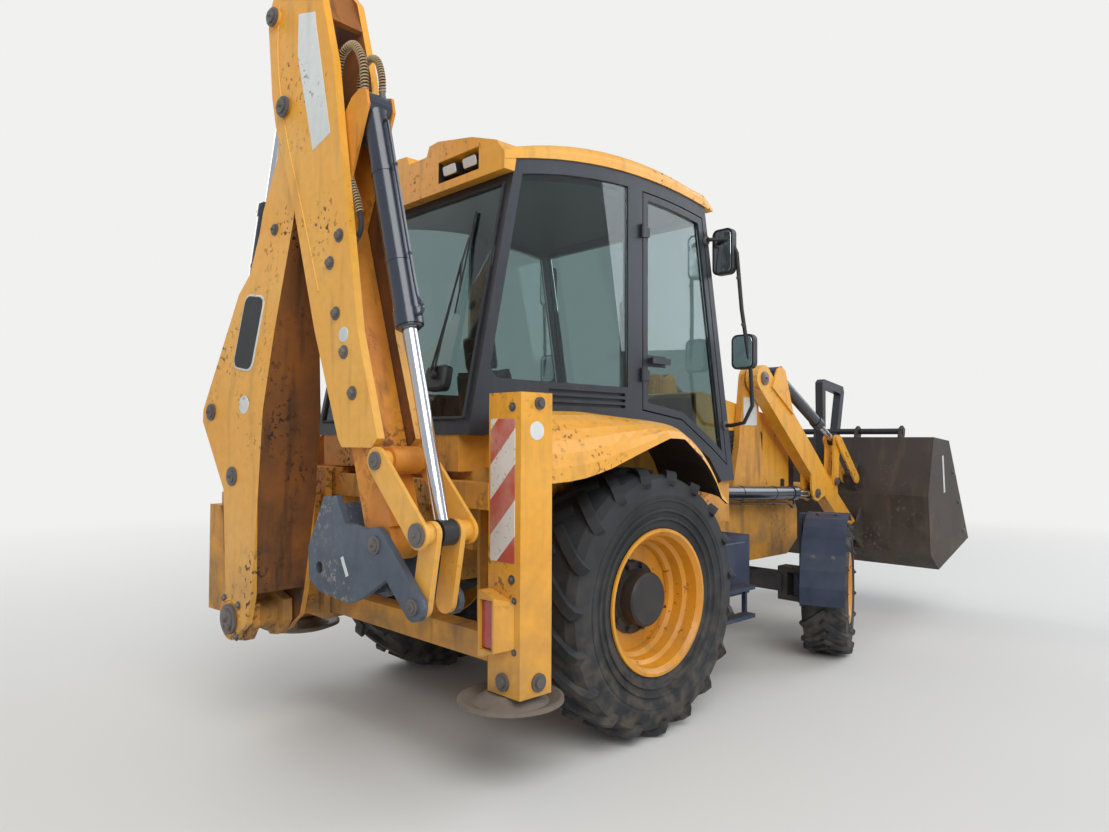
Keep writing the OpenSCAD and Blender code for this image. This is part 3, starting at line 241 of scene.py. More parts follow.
# black natural rubber, moulded: dull, with pale dust in the pores and brown mud near the ground
def mouldedRubber(name, look):
    material, tree, shader, place = newMaterial(name)
    dust = noiseMask(tree, place, 3.5, 0.3, 0.8, 9)
    mud = noiseMask(tree, place, 11, 0.42, 0.72, 10, shift=4.4)
    height = addNode(tree, "SeparateXYZ", {0: place}).outputs["Z"]
    low = addNode(tree, "MapRange", {"Value": height, "From Min": look["mudTop"], "From Max": 0.0})
    colour = mixColour(tree, multiply(tree, dust, look["dust"]), "#1D1F22", "#5C6064")
    muddy = multiply(tree, mud, multiply(tree, low.outputs[0], look["mud"]))
    colour = mixColour(tree, muddy, colour, "#7A6C5B")
    feed(tree, shader, {"Base Color": colour, "Roughness": 0.78})
    grain = fineNoise(tree, place, 160.0, 5.0)
    addBump(tree, shader, grain, 0.3, 0.003)
    return material


tyreRubber = mouldedRubber("mouldedTyreRubber", {"dust": 0.3, "mud": 0.6, "mudTop": 1.1})
hoseRubber = mouldedRubber("hydraulicHoseRubber", {"dust": 0.25, "mud": 0.3, "mudTop": 1.0})


# polished metal, as ground and chromed rods or silvered glass: a mirror dulled in places by oil or dust
def polishedMetal(name, look):
    material, tree, shader, place = newMaterial(name)
    film = noiseMask(tree, place, look["scale"], 0.4, look["high"], look["detail"])
    rough = math2(tree, "ADD", multiply(tree, film, look["film"]), look["polish"])
    feed(tree, shader, {"Base Color": look["tone"], "Metallic": 1.0, "Roughness": rough})
    return material


# toughened glass with a grey-green tint, dulled a little by dirt
def tintedGlass():
    material, tree, shader, place = newMaterial("tintedToughenedGlass")
    dirt = multiply(tree, noiseMask(tree, place, 5, 0.45, 0.85, 6), 0.03)
    feed(tree, shader, {"Base Color": "#B9CBC8", "Roughness": dirt, "Transmission Weight": 1.0, "IOR": 1.5})
    return material


# injection-moulded polypropylene: a fine leathery grain, greyed by dust
def mouldedPlastic(name, tone, dustHex):
    material, tree, shader, place = newMaterial(name)
    dust = noiseMask(tree, place, 6, 0.35, 0.8, 6)
    colour = mixColour(tree, multiply(tree, dust, 0.45), tone, dustHex)
    feed(tree, shader, {"Base Color": colour, "Roughness": 0.5})
    grain = fineNoise(tree, place, 380.0, 3.0)
    addBump(tree, shader, grain, 0.25, 0.001)
    return material


# polished lens or reflector plastic over a colour
def clearLens(name, tone, roughness):
    material, tree, shader, place = newMaterial(name)
    cells = addNode(tree, "TexVoronoi", {"Vector": place, "Scale": 130.0}, distance="CHEBYCHEV")
    dust = noiseMask(tree, place, 9, 0.35, 0.8, 6)
    colour = mixColour(tree, multiply(tree, dust, 0.3), tone, "#8B8378")
    feed(tree, shader, {"Base Color": colour, "Roughness": roughness, "Coat Weight": 0.8})
    addBump(tree, shader, cells.outputs[0], 0.5, 0.002)
    return material


# reflective film with slanting stripes 110 mm wide, worn and scuffed; the factor is stripe pairs per metre of slope
def stripedFilm():
    material, tree, shader, place = newMaterial("stripedReflectiveFilm")
    split = addNode(tree, "SeparateXYZ", {0: place})
    slope = math2(tree, "ADD", split.outputs["Y"], split.outputs["Z"])
    band = math2(tree, "GREATER_THAN", math2(tree, "FRACT", multiply(tree, slope, 3.2), 0.0), 0.5)
    worn = noiseMask(tree, place, 9, 0.38, 0.78, 7)
    scuffed = noiseMask(tree, place, 60, 0.60, 0.68, 5)
    colour = mixColour(tree, band, "#D9D6CF", "#B8503F")
    colour = mixColour(tree, multiply(tree, worn, 0.5), colour, "#CDB9AC")
    colour = mixColour(tree, multiply(tree, scuffed, 0.6), colour, "#7A6A58")
    feed(tree, shader, {"Base Color": colour, "Roughness": 0.4})
    return material


# woven seat cloth: a fine over-and-under weave 3 mm wide, dusty on top
def wovenCloth():
    material, tree, shader, place = newMaterial("wovenSeatCloth")
    weave = addNode(tree, "TexChecker", {"Vector": place, "Scale": 330.0}).outputs[1]
    dust = noiseMask(tree, place, 7, 0.35, 0.8, 6)
    colour = mixColour(tree, multiply(tree, dust, 0.5), "#22262C", "#4B4A47")
    feed(tree, shader, {"Base Color": colour, "Roughness": 0.9, "Sheen Weight": 0.4})
    addBump(tree, shader, weave, 0.4, 0.001)
    return material


rodChrome = {"tone": "#D9DCE0", "scale": 18, "high": 0.7, "detail": 4, "film": 0.16, "polish": 0.1}
silver = {"tone": "#C9D0D4", "scale": 14, "high": 0.8, "detail": 6, "film": 0.2, "polish": 0.04}
chrome = polishedMetal("hardChromedRod", rodChrome)
redLens = clearLens("redLampLens", "#A3161A", 0.15)
amberLens = clearLens("amberLampLens", "#D9781A", 0.15)
whiteLens = clearLens("frostedLampLens", "#D5DADD", 0.1)
mirrorSilver = polishedMetal("silveredMirrorGlass", silver)
stripes = stripedFilm()
seatCloth = wovenCloth()
glass = tintedGlass()
guardPlastic = mouldedPlastic("mudguardPolypropylene", "#1E2940", "#4C5566")
cabPlastic = mouldedPlastic("cabTrimPlastic", "#17191D", "#3A3B3C")
guardBeige = mouldedPlastic("hoseGuardPlastic", "#B59A72", "#8F7F66")

# which finish each node carries
finishes = {
    enamel: ["rear_frame", "cab_roof", "rear_mudguards", "hood", "loader_arms", "tilt_levers", "tilt_links", "boom",
             "dipper", "tipping_levers", "tipping_link", "stabiliser_left", "stabiliser_right", "tail_lamps"],
    muddyEnamel: ["chassis", "cab_floor", "carriage", "kingpost"],
    rustyEnamel: ["inner_dipper"],
    rimEnamel: [name for name in nodes if name.startswith("rim_")],
    blackEnamel: ["rear_axle", "front_axle", "cab_frame", "door_left", "door_right", "grille", "exhaust",
                  "pallet_forks", "engine_block"],
    ramEnamel: ["lift_tubes", "tilt_tubes", "boom_ram_tube", "dipper_ram_tube", "bucket_ram_tube"],
    greyEnamel: ["hitch"],
    scrapedSteel: ["loader_bucket"],
    tyreRubber: [name for name in nodes if name.startswith("tyre_")],
    chrome: ["lift_rods", "tilt_rods", "boom_ram_rod", "dipper_ram_rod", "bucket_ram_rod"],
    glass: ["cab_glass", "door_glass_left", "door_glass_right"],
    guardPlastic: ["knuckle_left", "knuckle_right", "side_boxes"],
    cabPlastic: ["seat", "console", "mirrors"],
}
for material, names in finishes.items():
    for name in names:
        mesh = nodes[name].data
        mesh.materials.clear()
        mesh.materials.append(material)


def paintFaces(name, material, chosen):
    # the faces for which chosen says yes take a second finish; the mesh keeps its shape
    mesh = nodes[name].data
    mesh.materials.append(material)
    slot = len(mesh.materials) - 1
    for face in mesh.polygons:
        if chosen(face, [mesh.vertices[i].co for i in face.vertices]):
            face.material_index = slot


boomTaper = {"foot": 0.165, "narrowing": 0.085, "from": 1.70, "over": 0.94}
hoeWalls = {"boomPlate": 0.026, "dipperInside": 0.089, "dipperFace": 0.125}


def boomHalf(z):
    # half width of the boom: straight at its foot, then tapered to its straight tip
    tapered = (z - boomTaper["from"]) / boomTaper["over"]
    return boomTaper["foot"] - boomTaper["narrowing"] * min(max(tapered, 0), 1)


def insideWalls(halfAt):
    # faces nearer the boom's plane than halfAt gives for their height
    return lambda face, corners: abs((face.center - alongBoom(0, 0, 0)).dot(across)) < halfAt(face.center.z)


def nearAxis(centre, axis, radius):
    return lambda face, corners: all((c - centre - axis * (c - centre).dot(axis)).length < radius for c in corners)


def headOn(spot, reach, axis):
    # faces of a pin head that stands on a side of the casing, square to axis 0 or 1
    return lambda face, corners: all(abs(c[axis] - spot[axis]) < 0.013 and (c - spot).length < reach
                                     for c in corners)


def inBox(side, low, high):
    # faces wholly inside a box, which is given for the left side
    return lambda face, corners: all(low[i] <= c[i] * (side if i == 1 else 1) <= high[i]
                                     for c in corners for i in range(3))


wheels = {
    "rear": {"middle": (0, 0.905, 0.705), "hub": 0.198, "turn": 0, "rim": 0.36, "out": 0.215},
    "front": {"middle": (2.17, 0.735, 0.482), "hub": 0.134, "turn": 22, "rim": 0.232, "out": 0.156, "offset": 0.185},
}


def wheelFrame(end, side):
    # centre of a wheel and the direction in which its axle points outward
    look = wheels[end]
    turn = math.radians(look["turn"])
    axle = Vector((-math.sin(turn), math.cos(turn), 0)) * side
    x, y, z = look["middle"]
    return machine(x, y * side, z) + axle * look.get("offset", 0), axle


# the inner walls of the boom and the dipper take painted shade, a brown that darkens downwards, over real mud and
# scrapes
paintFaces("boom", shadedGrimyEnamel, insideWalls(lambda z: boomHalf(z) - hoeWalls["boomPlate"]))
paintFaces("dipper", shadedGrimyEnamel, insideWalls(lambda z: hoeWalls["dipperInside"]))
wheelPlaces = [(end, side, word) for end in wheels for side, word in ((1, "left"), (-1, "right"))]
for end, side, word in wheelPlaces:
    centre, axle = wheelFrame(end, side)
    paintFaces("rim_" + end + "_" + word, hubEnamel, nearAxis(centre, axle, wheels[end]["hub"]))
# rails between the casings carry mud, rod ends are bare and greasy, and the mudguards are black inside
paintFaces("rear_frame", muddyEnamel, lambda face, corners: abs(face.center.y) < 0.955)
casingPins = [(-1.068, 1.0675, 0.50, 0.050, 0), (-0.95, 1.185, 0.50, 0.050, 1), (-0.95, 1.185, 1.718, 0.036, 1)]
for side in (-1, 1):
    for x, y, z, reach, axis in casingPins:
        paintFaces("rear_frame", fastenerSteel, headOn(machine(x, side * y, z), reach, axis))
rodEnds = [("bucket_ram_rod", alongBoom(1.735, 0, 1.17), across), ("boom_ram_rod", alongBoom(0.26, 0, 1.36), across),
           ("dipper_ram_rod", alongBoom(0.562, 0, 3.70), across), ("lift_rods", machine(2.70, 0, 1.13), left),
           ("tilt_rods", machine(3.06, 0, 1.56), left)]
for name, place, axis in rodEnds:
    paintFaces(name, hubEnamel, nearAxis(place, axis, 0.075))


def underGuard(face, corners):
    # the mudguard's faces that look at the wheel
    hub = machine(0, face.center.y, wheels["rear"]["middle"][2])
    return face.normal.dot(face.center - hub) < 0 and abs(face.normal.x) < 0.98


paintFaces("rear_mudguards", hubEnamel, underGuard)
for word in ("left", "right"):
    paintFaces("stabiliser_" + word, padMetal, lambda face, corners: face.center.z < 0.434)
# red lenses of the tail lamps, and the dark recesses of the roof's work lamps
lens = machine(-1.1074, 0.9802, 0.6479), machine(-1.0815, 1.0658, 0.8501)
pod = machine(-0.801, 0.2, 2.949), machine(-0.688, 0.53, 3.07)
for side in (1, -1):
    paintFaces("tail_lamps", redLens, inBox(side, *lens))
    paintFaces("cab_roof", cabPlastic, inBox(side, *pod))
# curved sheet is shaded smooth
for name in ("rear_mudguards", "cab_roof", "mirrors"):
    nodes[name].data.shade_smooth()
    nodes[name].data.set_sharp_from_angle(angle=math.radians(32))
print("finishes on the frame")


def finishPiece(name, bm, material, body="machine", sharp=35):
    # one piece from a bmesh, with outward normals and smooth round faces, riding on a body
    bmesh.ops.remove_doubles(bm, verts=bm.verts, dist=0.00001)
    bmesh.ops.recalc_face_normals(bm, faces=bm.faces)
    mesh = bpy.data.meshes.new(name)
    bm.to_mesh(mesh)
    bm.free()
    mesh.shade_smooth()
    mesh.set_sharp_from_angle(angle=math.radians(sharp))
    mesh.materials.append(material)
    piece = bpy.data.objects.new(name, mesh)
    scene.collection.objects.link(piece)
    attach(piece, body)
    return piece


def joinRings(bm, rings, capped=True):
    # faces from each ring of verts to the next, and over both ends
    for low, high in zip(rings, rings[1:]):
        for i in range(len(low)):
            k = (i + 1) % len(low)
            bm.faces.new((low[i], low[k], high[k], high[i]))
    if capped:
        bm.faces.new(rings[0][::-1])
        bm.faces.new(rings[-1])


def lathe(bm, place, axis, profile, sides=32):
    # turned form: profile points are (radius, height along axis)
    turn = Vector(axis).to_track_quat("Z", "Y").to_matrix()
    verts = [bm.verts.new(place + turn @ Vector((r, 0, h))) for r, h in profile]
    edges = [bm.edges.new(pair) for pair in zip(verts, verts[1:])]
    bmesh.ops.spin(bm, geom=verts + edges, cent=place, axis=axis, angle=math.tau, steps=sides, use_merge=True)


def hexBolt(bm, place, axis, across, height):
    # washer and chamfered hexagon head
    lathe(bm, place, axis, [(0, 0), (across * 0.95, 0), (across * 0.95, height * 0.16), (0, height * 0.16)], 20)
    radius = across / math.sqrt(3)
    lathe(bm, place, axis, [(0, height * 0.1), (radius, height * 0.1), (radius, height * 0.85),
                            (radius * 0.88, height), (0, height)], 6)


def pinHead(bm, place, axis, radius, height):
    # chamfered pin end in a collar, with a grease nipple in its centre
    lathe(bm, place, axis, [(0, 0), (radius, 0), (radius, height * 0.5), (radius * 0.93, height * 0.62),
                            (radius * 0.70, height * 0.62), (radius * 0.70, height * 0.9), (radius * 0.64, height),
                            (radius * 0.16, height), (radius * 0.12, height + 0.012), (0, height + 0.014)], 28)


def slab(bm, centre, sideways, upward, width, height, corner, thick, edge=0.002):
    # rounded plate with a bevelled rim, its back on the surface and its face along sideways x upward
    normal = sideways.cross(upward)

    def ring(inset, lift):
        verts = []
        for cornerIndex, (a, b) in enumerate(((1, 1), (-1, 1), (-1, -1), (1, -1))):
            for step in range(6):
                angle = math.radians(90 * cornerIndex + 18 * step)
                u = a * (width / 2 - corner) + (corner - inset) * math.cos(angle)
                v = b * (height / 2 - corner) + (corner - inset) * math.sin(angle)
                verts.append(bm.verts.new(centre + sideways * u + upward * v + normal * lift))
        return verts

    joinRings(bm, [ring(0, 0), ring(0, thick - edge), ring(edge, thick)])


def slabPiece(name, material, *shape, body="machine"):
    # a piece that is one slab
    bm = bmesh.new()
    slab(bm, *shape)
    finishPiece(name, bm, material, body)


def roundPlate(name, place, axis, radius, body):
    # thin pale disc with a chamfered rim
    bm = bmesh.new()
    lathe(bm, place, axis, [(0, 0), (radius, 0), (radius - 0.002, 0.003), (0, 0.004)], 40)
    finishPiece(name, bm, paleFilm, body)


def sheetPlate(bm, corners, normal, thick):
    # flat plate of any outline with a bevelled upper edge
    middle = sum(corners, Vector()) / len(corners)
    low = [bm.verts.new(c) for c in corners]
    high = [bm.verts.new(c + normal * thick + (middle - c).normalized() * thick * 0.5) for c in corners]
    joinRings(bm, [low, high])


def smoothPath(points, steps=8):
    # curve through the points, by Catmull and Rom
    out = []
    for i in range(len(points) - 1):
        a, b, c, d = (points[max(i - 1, 0)], points[i], points[i + 1], points[min(i + 2, len(points) - 1)])
        for k in range(steps):
            t = k / steps
            out.append(0.5 * ((2 * b) + (c - a) * t + (2 * a - 5 * b + 4 * c - d) * t * t
                              + (3 * b - a - 3 * c + d) * t ** 3))
    return out + [points[-1]]


def pathFrames(path):
    # at each point the direction and two square ones, carried along without twist
    frames = []
    normal = None
    for i, point in enumerate(path):
        along = (path[min(i + 1, len(path) - 1)] - path[max(i - 1, 0)]).normalized()
        normal = along.orthogonal() if normal is None else normal - along * normal.dot(along)
        normal.normalize()
        frames.append((point, along, normal.copy(), along.cross(normal)))
    return frames


def sweep(bm, path, radius, sides=12, flat=1.0, ripple=0.0):
    # round or flattened bar along a path; a rippled one is a run of weld, open at its ends
    rings = []
    for i, (point, along, first, second) in enumerate(pathFrames(path)):
        r = radius * (1 + ripple * math.sin(i * 1.9))
        rings.append([bm.verts.new(point + r * (math.cos(a) * first + flat * math.sin(a) * second))
                      for a in (math.tau * k / sides for k in range(sides))])
    joinRings(bm, rings, capped=not ripple)


def spiral(bm, path, radius, wire, pitch):
    # guard spring wound round a hose
    frames = pathFrames(path)
    length = 0.0
    turns = []
    for (a, *_), (b, along, first, second) in zip(frames, frames[1:]):
        for k in range(4):
            angle = math.tau * (length + (b - a).length * k / 4) / pitch
            turns.append(a.lerp(b, k / 4) + radius * (math.cos(angle) * first + math.sin(angle) * second))
        length += (b - a).length
    sweep(bm, turns, wire, 6)


def hose(name, radius, body, guard, points):
    # rubber hose with a crimped steel fitting at each end, and a guard spring over a part of its length
    path = smoothPath([alongBoom(*p) for p in points])
    print("hose", name, "length", round(sum((b - a).length for a, b in zip(path, path[1:])), 3), "m")
    bm = bmesh.new()
    sweep(bm, path, radius)
    finishPiece(name, bm, hoseRubber, body)
    bm = bmesh.new()
    for end, nextPoint in ((path[0], path[1]), (path[-1], path[-2])):
        axis = (nextPoint - end).normalized()
        r = radius
        lathe(bm, end - axis * 0.01, axis, [(0, 0), (r * 1.5, 0), (r * 1.5, 0.02), (r * 1.25, 0.024),
                                            (r * 1.25, 0.055), (r * 1.05, 0.06), (0, 0.06)], 12)
    finishPiece(name + "Ends", bm, fastenerSteel, body)
    first, last = (int(len(path) * g) for g in guard)
    bm = bmesh.new()
    spiral(bm, smoothPath(path[first:last], 4), radius * 1.25, radius * 0.28, radius * 1.15)
    finishPiece(name + "Guard", bm, guardBeige, body)


# backhoe: pin heads and bolts on both faces of the boom and the dipper, as (outward, up, size, height) and, for pins,
# how far they stand off the boom's face or the dipper's middle
boomPins = [(0.505, 2.633, 0.030, 0.016, 0), (0.26, 0.62, 0.078, 0.022, 0.006), (0.02, 1.70, 0.046, 0.018, 0),
            (0.26, 1.36, 0.050, 0.018, 0)]
boomBolts = [(0.33, 0.54, 0.024, 0.016), (0.20, 0.72, 0.024, 0.016), (0.345, 0.70, 0.024, 0.016)]
dipperPins = [(0.67, 3.21, 0.052, 0.026, 0.137), (0.562, 3.70, 0.048, 0.024, 0.140)]
dipperBolts = [(1.071, 2.372), (1.123, 2.132), (1.143, 2.489), (1.190, 1.95), (1.258, 1.762)]
boomMetal, dipperMetal = bmesh.new(), bmesh.new()
for side in (-1, 1):
    outwardFace = across * side
    for s, z, radius, height, off in boomPins:
        pinHead(boomMetal, alongBoom(s, side * (boomHalf(z) + off), z), outwardFace, radius, height)
    for s, z, size, height in boomBolts:
        hexBolt(boomMetal, alongBoom(s, side * boomHalf(z), z), outwardFace, size, height)
    for s, z, radius, height, y in dipperPins:
        pinHead(dipperMetal, alongBoom(s, side * y, z), outwardFace, radius, height)
    for s, z in dipperBolts:
        hexBolt(dipperMetal, alongBoom(s, side * hoeWalls["dipperFace"], z), outwardFace, 0.034, 0.02)
finishPiece("boomPinHeads", boomMetal, fastenerSteel, "boom")
finishPiece("dipperPinHeads", dipperMetal, fastenerSteel, "dipper")

# pins of the tipping gear and the hitch: (piece, body, pins as outward, up, face, radius)
gearPins = [
    ("leverPins", "tipping_levers", [(1.735, 1.17, 0.142, 0.050), (1.455, 1.465, 0.142, 0.040)]),
    ("hitchPins", "hitch", [(1.68, 0.87, 0.118, 0.034), (1.42, 1.10, 0.116, 0.040)]),
]
for name, body, pins in gearPins:
    bm = bmesh.new()
    for side in (-1, 1):
        for s, z, face, radius in pins:
            pinHead(bm, alongBoom(s, side * face, z), across * side, radius, 0.016)
    finishPiece(name, bm, fastenerSteel, body)


# blank plates on the side that the photograph shows: a pale one on the dipper, a black one with a pale rim on the
# boom, and two round ones
plateOutline = [(0.777, 3.648), (0.772, 3.444), (0.915, 2.936), (1.060, 2.985), (0.93, 3.55), (0.92, 3.61)]
bm = bmesh.new()
sheetPlate(bm, [alongBoom(s, -hoeWalls["dipperFace"], z) for s, z in plateOutline[::-1]], -across, 0.002)
finishPiece("dipperBlankPlate", bm, paleFilm, "dipper")
plateLook = {"middle": (0.345, 2.11), "lean": 0.17, "width": 0.20, "height": 0.40}
plateLayers = (("Rim", 0, 0.05, 0.006, paleFilm), ("Field", 0.02, 0.045, 0.009, hubEnamel))
s, z = plateLook["middle"]
high, low = (alongBoom(s + d * plateLook["lean"], -boomHalf(z + d), z + d) for d in (0.2, -0.2))
plateUp = (high - low).normalized()
sideways = plateUp.cross(-across).normalized()
centre = alongBoom(s, -boomHalf(z), z)
for name, inset, corner, thick, finish in plateLayers:
    slabPiece("boomPlate" + name, finish, centre, sideways, plateUp, plateLook["width"] - inset,
              plateLook["height"] - inset, corner, thick, body="boom")
roundPlate("boomRoundPlate", alongBoom(0.366, -boomHalf(1.731), 1.731), -across, 0.048, "boom")
roundPlate("dipperRoundPlate", alongBoom(1.185, -hoeWalls["dipperFace"], 2.03), -across, 0.036, "dipper")

# one bead up each dipper plate, and one round the boss at the boom's foot on each side
dipperSeam = [(0.60, 3.80), (0.585, 3.50), (0.66, 3.12), (0.83, 2.66), (0.98, 2.25)]
footBoss = {"middle": (0.26, 0.62), "radius": 0.10}
bm = bmesh.new()
for side in (-1, 1):
    seam = [alongBoom(s, side * 0.1255, z) for s, z in dipperSeam]
    sweep(bm, smoothPath(seam, 40), 0.004, 6, ripple=0.22)
finishPiece("dipperWeldBead", bm, enamel, "dipper")
bm = bmesh.new()
s, z = footBoss["middle"]
for side in (-1, 1):
    turns = [math.tau * k / 16 for k in range(17)]
    seam = [alongBoom(s + footBoss["radius"] * math.cos(a), side * boomHalf(z),
                      z + footBoss["radius"] * math.sin(a)) for a in turns]
    sweep(bm, smoothPath(seam, 40), 0.004, 6, ripple=0.22)
finishPiece("boomWeldBead", bm, enamel, "boom")

# hoses at the top of the dipper, with beige guard springs: radius, body, guarded part, points
hoeHoses = {
    "ramHoseUpper": (0.014, "inner_dipper", (0.05, 0.95), (
        (1.06, -0.046, 2.98), (1.04, -0.044, 3.05), (0.985, -0.03, 3.17), (0.955, -0.018, 3.29), (0.99, -0.02, 3.41),
        (1.09, -0.025, 3.43), (1.165, -0.028, 3.34), (1.19, -0.03, 3.22), (1.194, -0.03, 3.145))),
    "ramHoseRear": (0.012, "inner_dipper", (0.05, 0.95), (
        (1.085, 0.046, 3.005), (1.065, 0.044, 3.08), (1.055, 0.038, 3.20), (1.075, 0.036, 3.30), (1.13, 0.036, 3.365),
        (1.20, 0.034, 3.34), (1.243, 0.03, 3.24), (1.246, 0.03, 3.145))),
    "dipperHoseLower": (0.013, "dipper", (0.0, 0.62), (
        (1.085, -0.065, 2.95), (1.135, -0.065, 2.78), (1.20, -0.065, 2.64), (1.225, -0.065, 2.52),
        (1.165, -0.065, 2.46))),
}
for name in ("ramHoseUpper", "ramHoseRear"):
    hose(name, *hoeHoses[name])
# steel port blocks on the bracket's inner faces, where the ram's two hoses start
bm = bmesh.new()
slab(bm, alongBoom(1.06, -0.064, 2.96), up, outward, 0.04, 0.04, 0.004, 0.036)
slab(bm, alongBoom(1.085, 0.064, 2.985), outward, up, 0.04, 0.04, 0.004, 0.036)
finishPiece("hosePortBlocks", bm, fastenerSteel, "inner_dipper")
hose("dipperHoseLower", *hoeHoses["dipperHoseLower"])


def ramPipe(name, base, eye, place, radius, length, body, side=1, flip=1, gland=True):
    # steel pipe from the port at the ram's base to its gland, on two bands with a bolt each, and the gland's ring
    bx, bz = base
    ex, ez = eye
    size = math.hypot(ex - bx, ez - bz)
    ux, uz = (ex - bx) / size, (ez - bz) / size
    nx, nz = flip * uz, -flip * ux

    def at(along, off, y=0.0):
        return place(bx + ux * along + nx * off, side * y, bz + uz * along + nz * off)

    bm = bmesh.new()
    tip = length - 0.035
    route = ((0.10, -0.01, 0), (0.11, 0.02, 0), (0.15, 0.026, 0), (length * 0.4, 0.024, 0), (length * 0.8, 0.024, 0),
             (tip - 0.06, 0.03, 0), (tip - 0.01, 0.06, 0.01), (tip + 0.012, 0.035, 0.01), (tip, -0.004, 0.01))
    sweep(bm, smoothPath([at(along, radius + off, y) for along, off, y in route]), 0.008, 10)
    finishPiece(name + "Pipe", bm, ramEnamel, body)
    bm = bmesh.new()
    axis = (at(1, 0) - at(0, 0)).normalized()
    for along in (length * 0.3, length * 0.7):
        band = [(radius, 0), (radius + 0.003, 0.001), (radius + 0.003, 0.024), (radius, 0.025)]
        lathe(bm, at(along, 0), axis, band, 40)
        clip = at(along + 0.0125, radius + 0.022)
        hexBolt(bm, clip, (at(0, 1) - at(0, 0)).normalized(), 0.014, 0.014)
    if gland:
        lathe(bm, at(length - 0.001, 0), axis, [(radius * 0.60, 0), (radius * 0.98, 0), (radius * 0.98, 0.007),
                                                (radius * 0.86, 0.014), (radius * 0.60, 0.014)], 40)
    finishPiece(name + "Collar", bm, ramEnamel, body)


ramPipe("bucketRam", (1.22, 3.10), (1.735, 1.17), alongBoom, 0.058, 1.084, "bucket_ram_tube", -1, -1)
ramPipe("dipperRam", (0.02, 1.70), (0.562, 3.70), alongBoom, 0.062, 1.15, "dipper_ram_tube", -1, -1)
ramPipe("boomRam", (0.03, 0.78), (0.26, 1.36), alongBoom, 0.050, 0.50, "boom_ram_tube", -1, -1)
armMiddle = 0.53  # metres from the machine's middle to each loader arm's
for side, word in ((1, "Left"), (-1, "Right")):
    ramPipe("lift" + word, (1.30, 1.19), (2.70, 1.13), lambda x, y, z: machine(x, armMiddle * side + y, z), 0.052,
            1.12, "lift_tubes", side, 1, False)

# blank label on the hitch
tilt = math.radians(62)
along = (alongBoom(math.cos(tilt), 0, -math.sin(tilt)) - alongBoom(0, 0, 0)).normalized()
slabPiece("hitchLabel", paleFilm, alongBoom(1.20, -0.116, 0.985), along.cross(-across), along, 0.024, 0.095, 0.003,
          0.001, body="hitch")

# blank pale plate on the right loader tower
slabPiece("towerPlate", paleFilm, machine(1.90, -0.458, 1.775), forward, up, 0.18, 0.21, 0.006, 0.002)

# casings: on the right one, which the photograph shows, a striped board and a round blank plate
slabPiece("casingStripes", stripes, machine(-1.057, -1.056, 1.335), -left, up, 0.165,
          0.63, 0.008, 0.003, 0.001)
roundPlate("casingRoundPlate", machine(-0.963, -1.175, 1.596), -left, 0.042, "machine")
for side, word in handed:
    # two bolts beside the lamp guard, and one at each end of the board
    bm = bmesh.new()
    for z in (0.64, 0.86):
        hexBolt(bm, machine(-1.057, side * 1.137, z), -forward, 0.017, 0.01)
    for z in (0.95, 1.70):
        hexBolt(bm, machine(-1.057, side * 1.12, z), -forward, 0.022, 0.014)
    finishPiece("casingBolts" + word, bm, fastenerSteel)


rearGlass = {"lean": 0.2066, "footX": -0.992, "footZ": 1.65}
glassUp = Vector((rearGlass["lean"], 0, 1)).normalized()
glassOut = Vector((-glassUp.z, 0, glassUp.x))


def onRearGlass(y, z, off):
    # a point off the outside of the slanting rear window
    return machine(rearGlass["footX"] + (z - rearGlass["footZ"]) * rearGlass["lean"], y, z) + glassOut * off


# rear wiper: motor housing, two-part arm, and a blade on its yoke
slabPiece("wiperMotorCover", cabPlastic, onRearGlass(-0.45, 1.86, 0.002), -left,
          glassUp, 0.17, 0.13, 0.03, 0.05, 0.012)
wiperHub = [(0, 0), (0.022, 0), (0.022, 0.016), (0.014, 0.024), (0, 0.024)]
wiperBars = [((-0.452, 1.87, 0.058), (-0.462, 2.10, 0.050), (-0.485, 2.46, 0.034)),
             ((-0.420, 1.88, 0.056), (-0.450, 2.12, 0.046), (-0.485, 2.44, 0.034))]
bladeLine = ((-0.474, 2.20, 0.010), (-0.488, 2.46, 0.010), (-0.502, 2.74, 0.010))
bm = bmesh.new()
for bar, radius, flat in zip(wiperBars, (0.011, 0.006), (0.5, 1.0)):
    sweep(bm, [onRearGlass(*p) for p in bar], radius, 8, flat)
lathe(bm, onRearGlass(-0.452, 1.87, 0.046), glassOut, wiperHub, 20)
for z in (2.31, 2.60):
    sweep(bm, [onRearGlass(-0.486, 2.46, 0.032), onRearGlass(-0.491, z, 0.016)], 0.006, 8)
finishPiece("wiperArm", bm, hubEnamel)
bm = bmesh.new()
sweep(bm, [onRearGlass(*p) for p in bladeLine], 0.010, 8, 0.45)
finishPiece("wiperBlade", bm, hoseRubber)


# moulded rubber seal round the rear window
paneCorners = [onRearGlass(y, z, 0.004) for y, z in ((-0.69, 1.66), (0.69, 1.66), (0.69, 2.852), (-0.69, 2.852))]
path = [c for a, b in zip(paneCorners, paneCorners[1:] + paneCorners[:1]) for c in (a, a.lerp(b, 0.5))]
bm = bmesh.new()
sweep(bm, path + paneCorners[:1], 0.011, 8, 0.8)
finishPiece("rearWindowSeal", bm, hoseRubber)

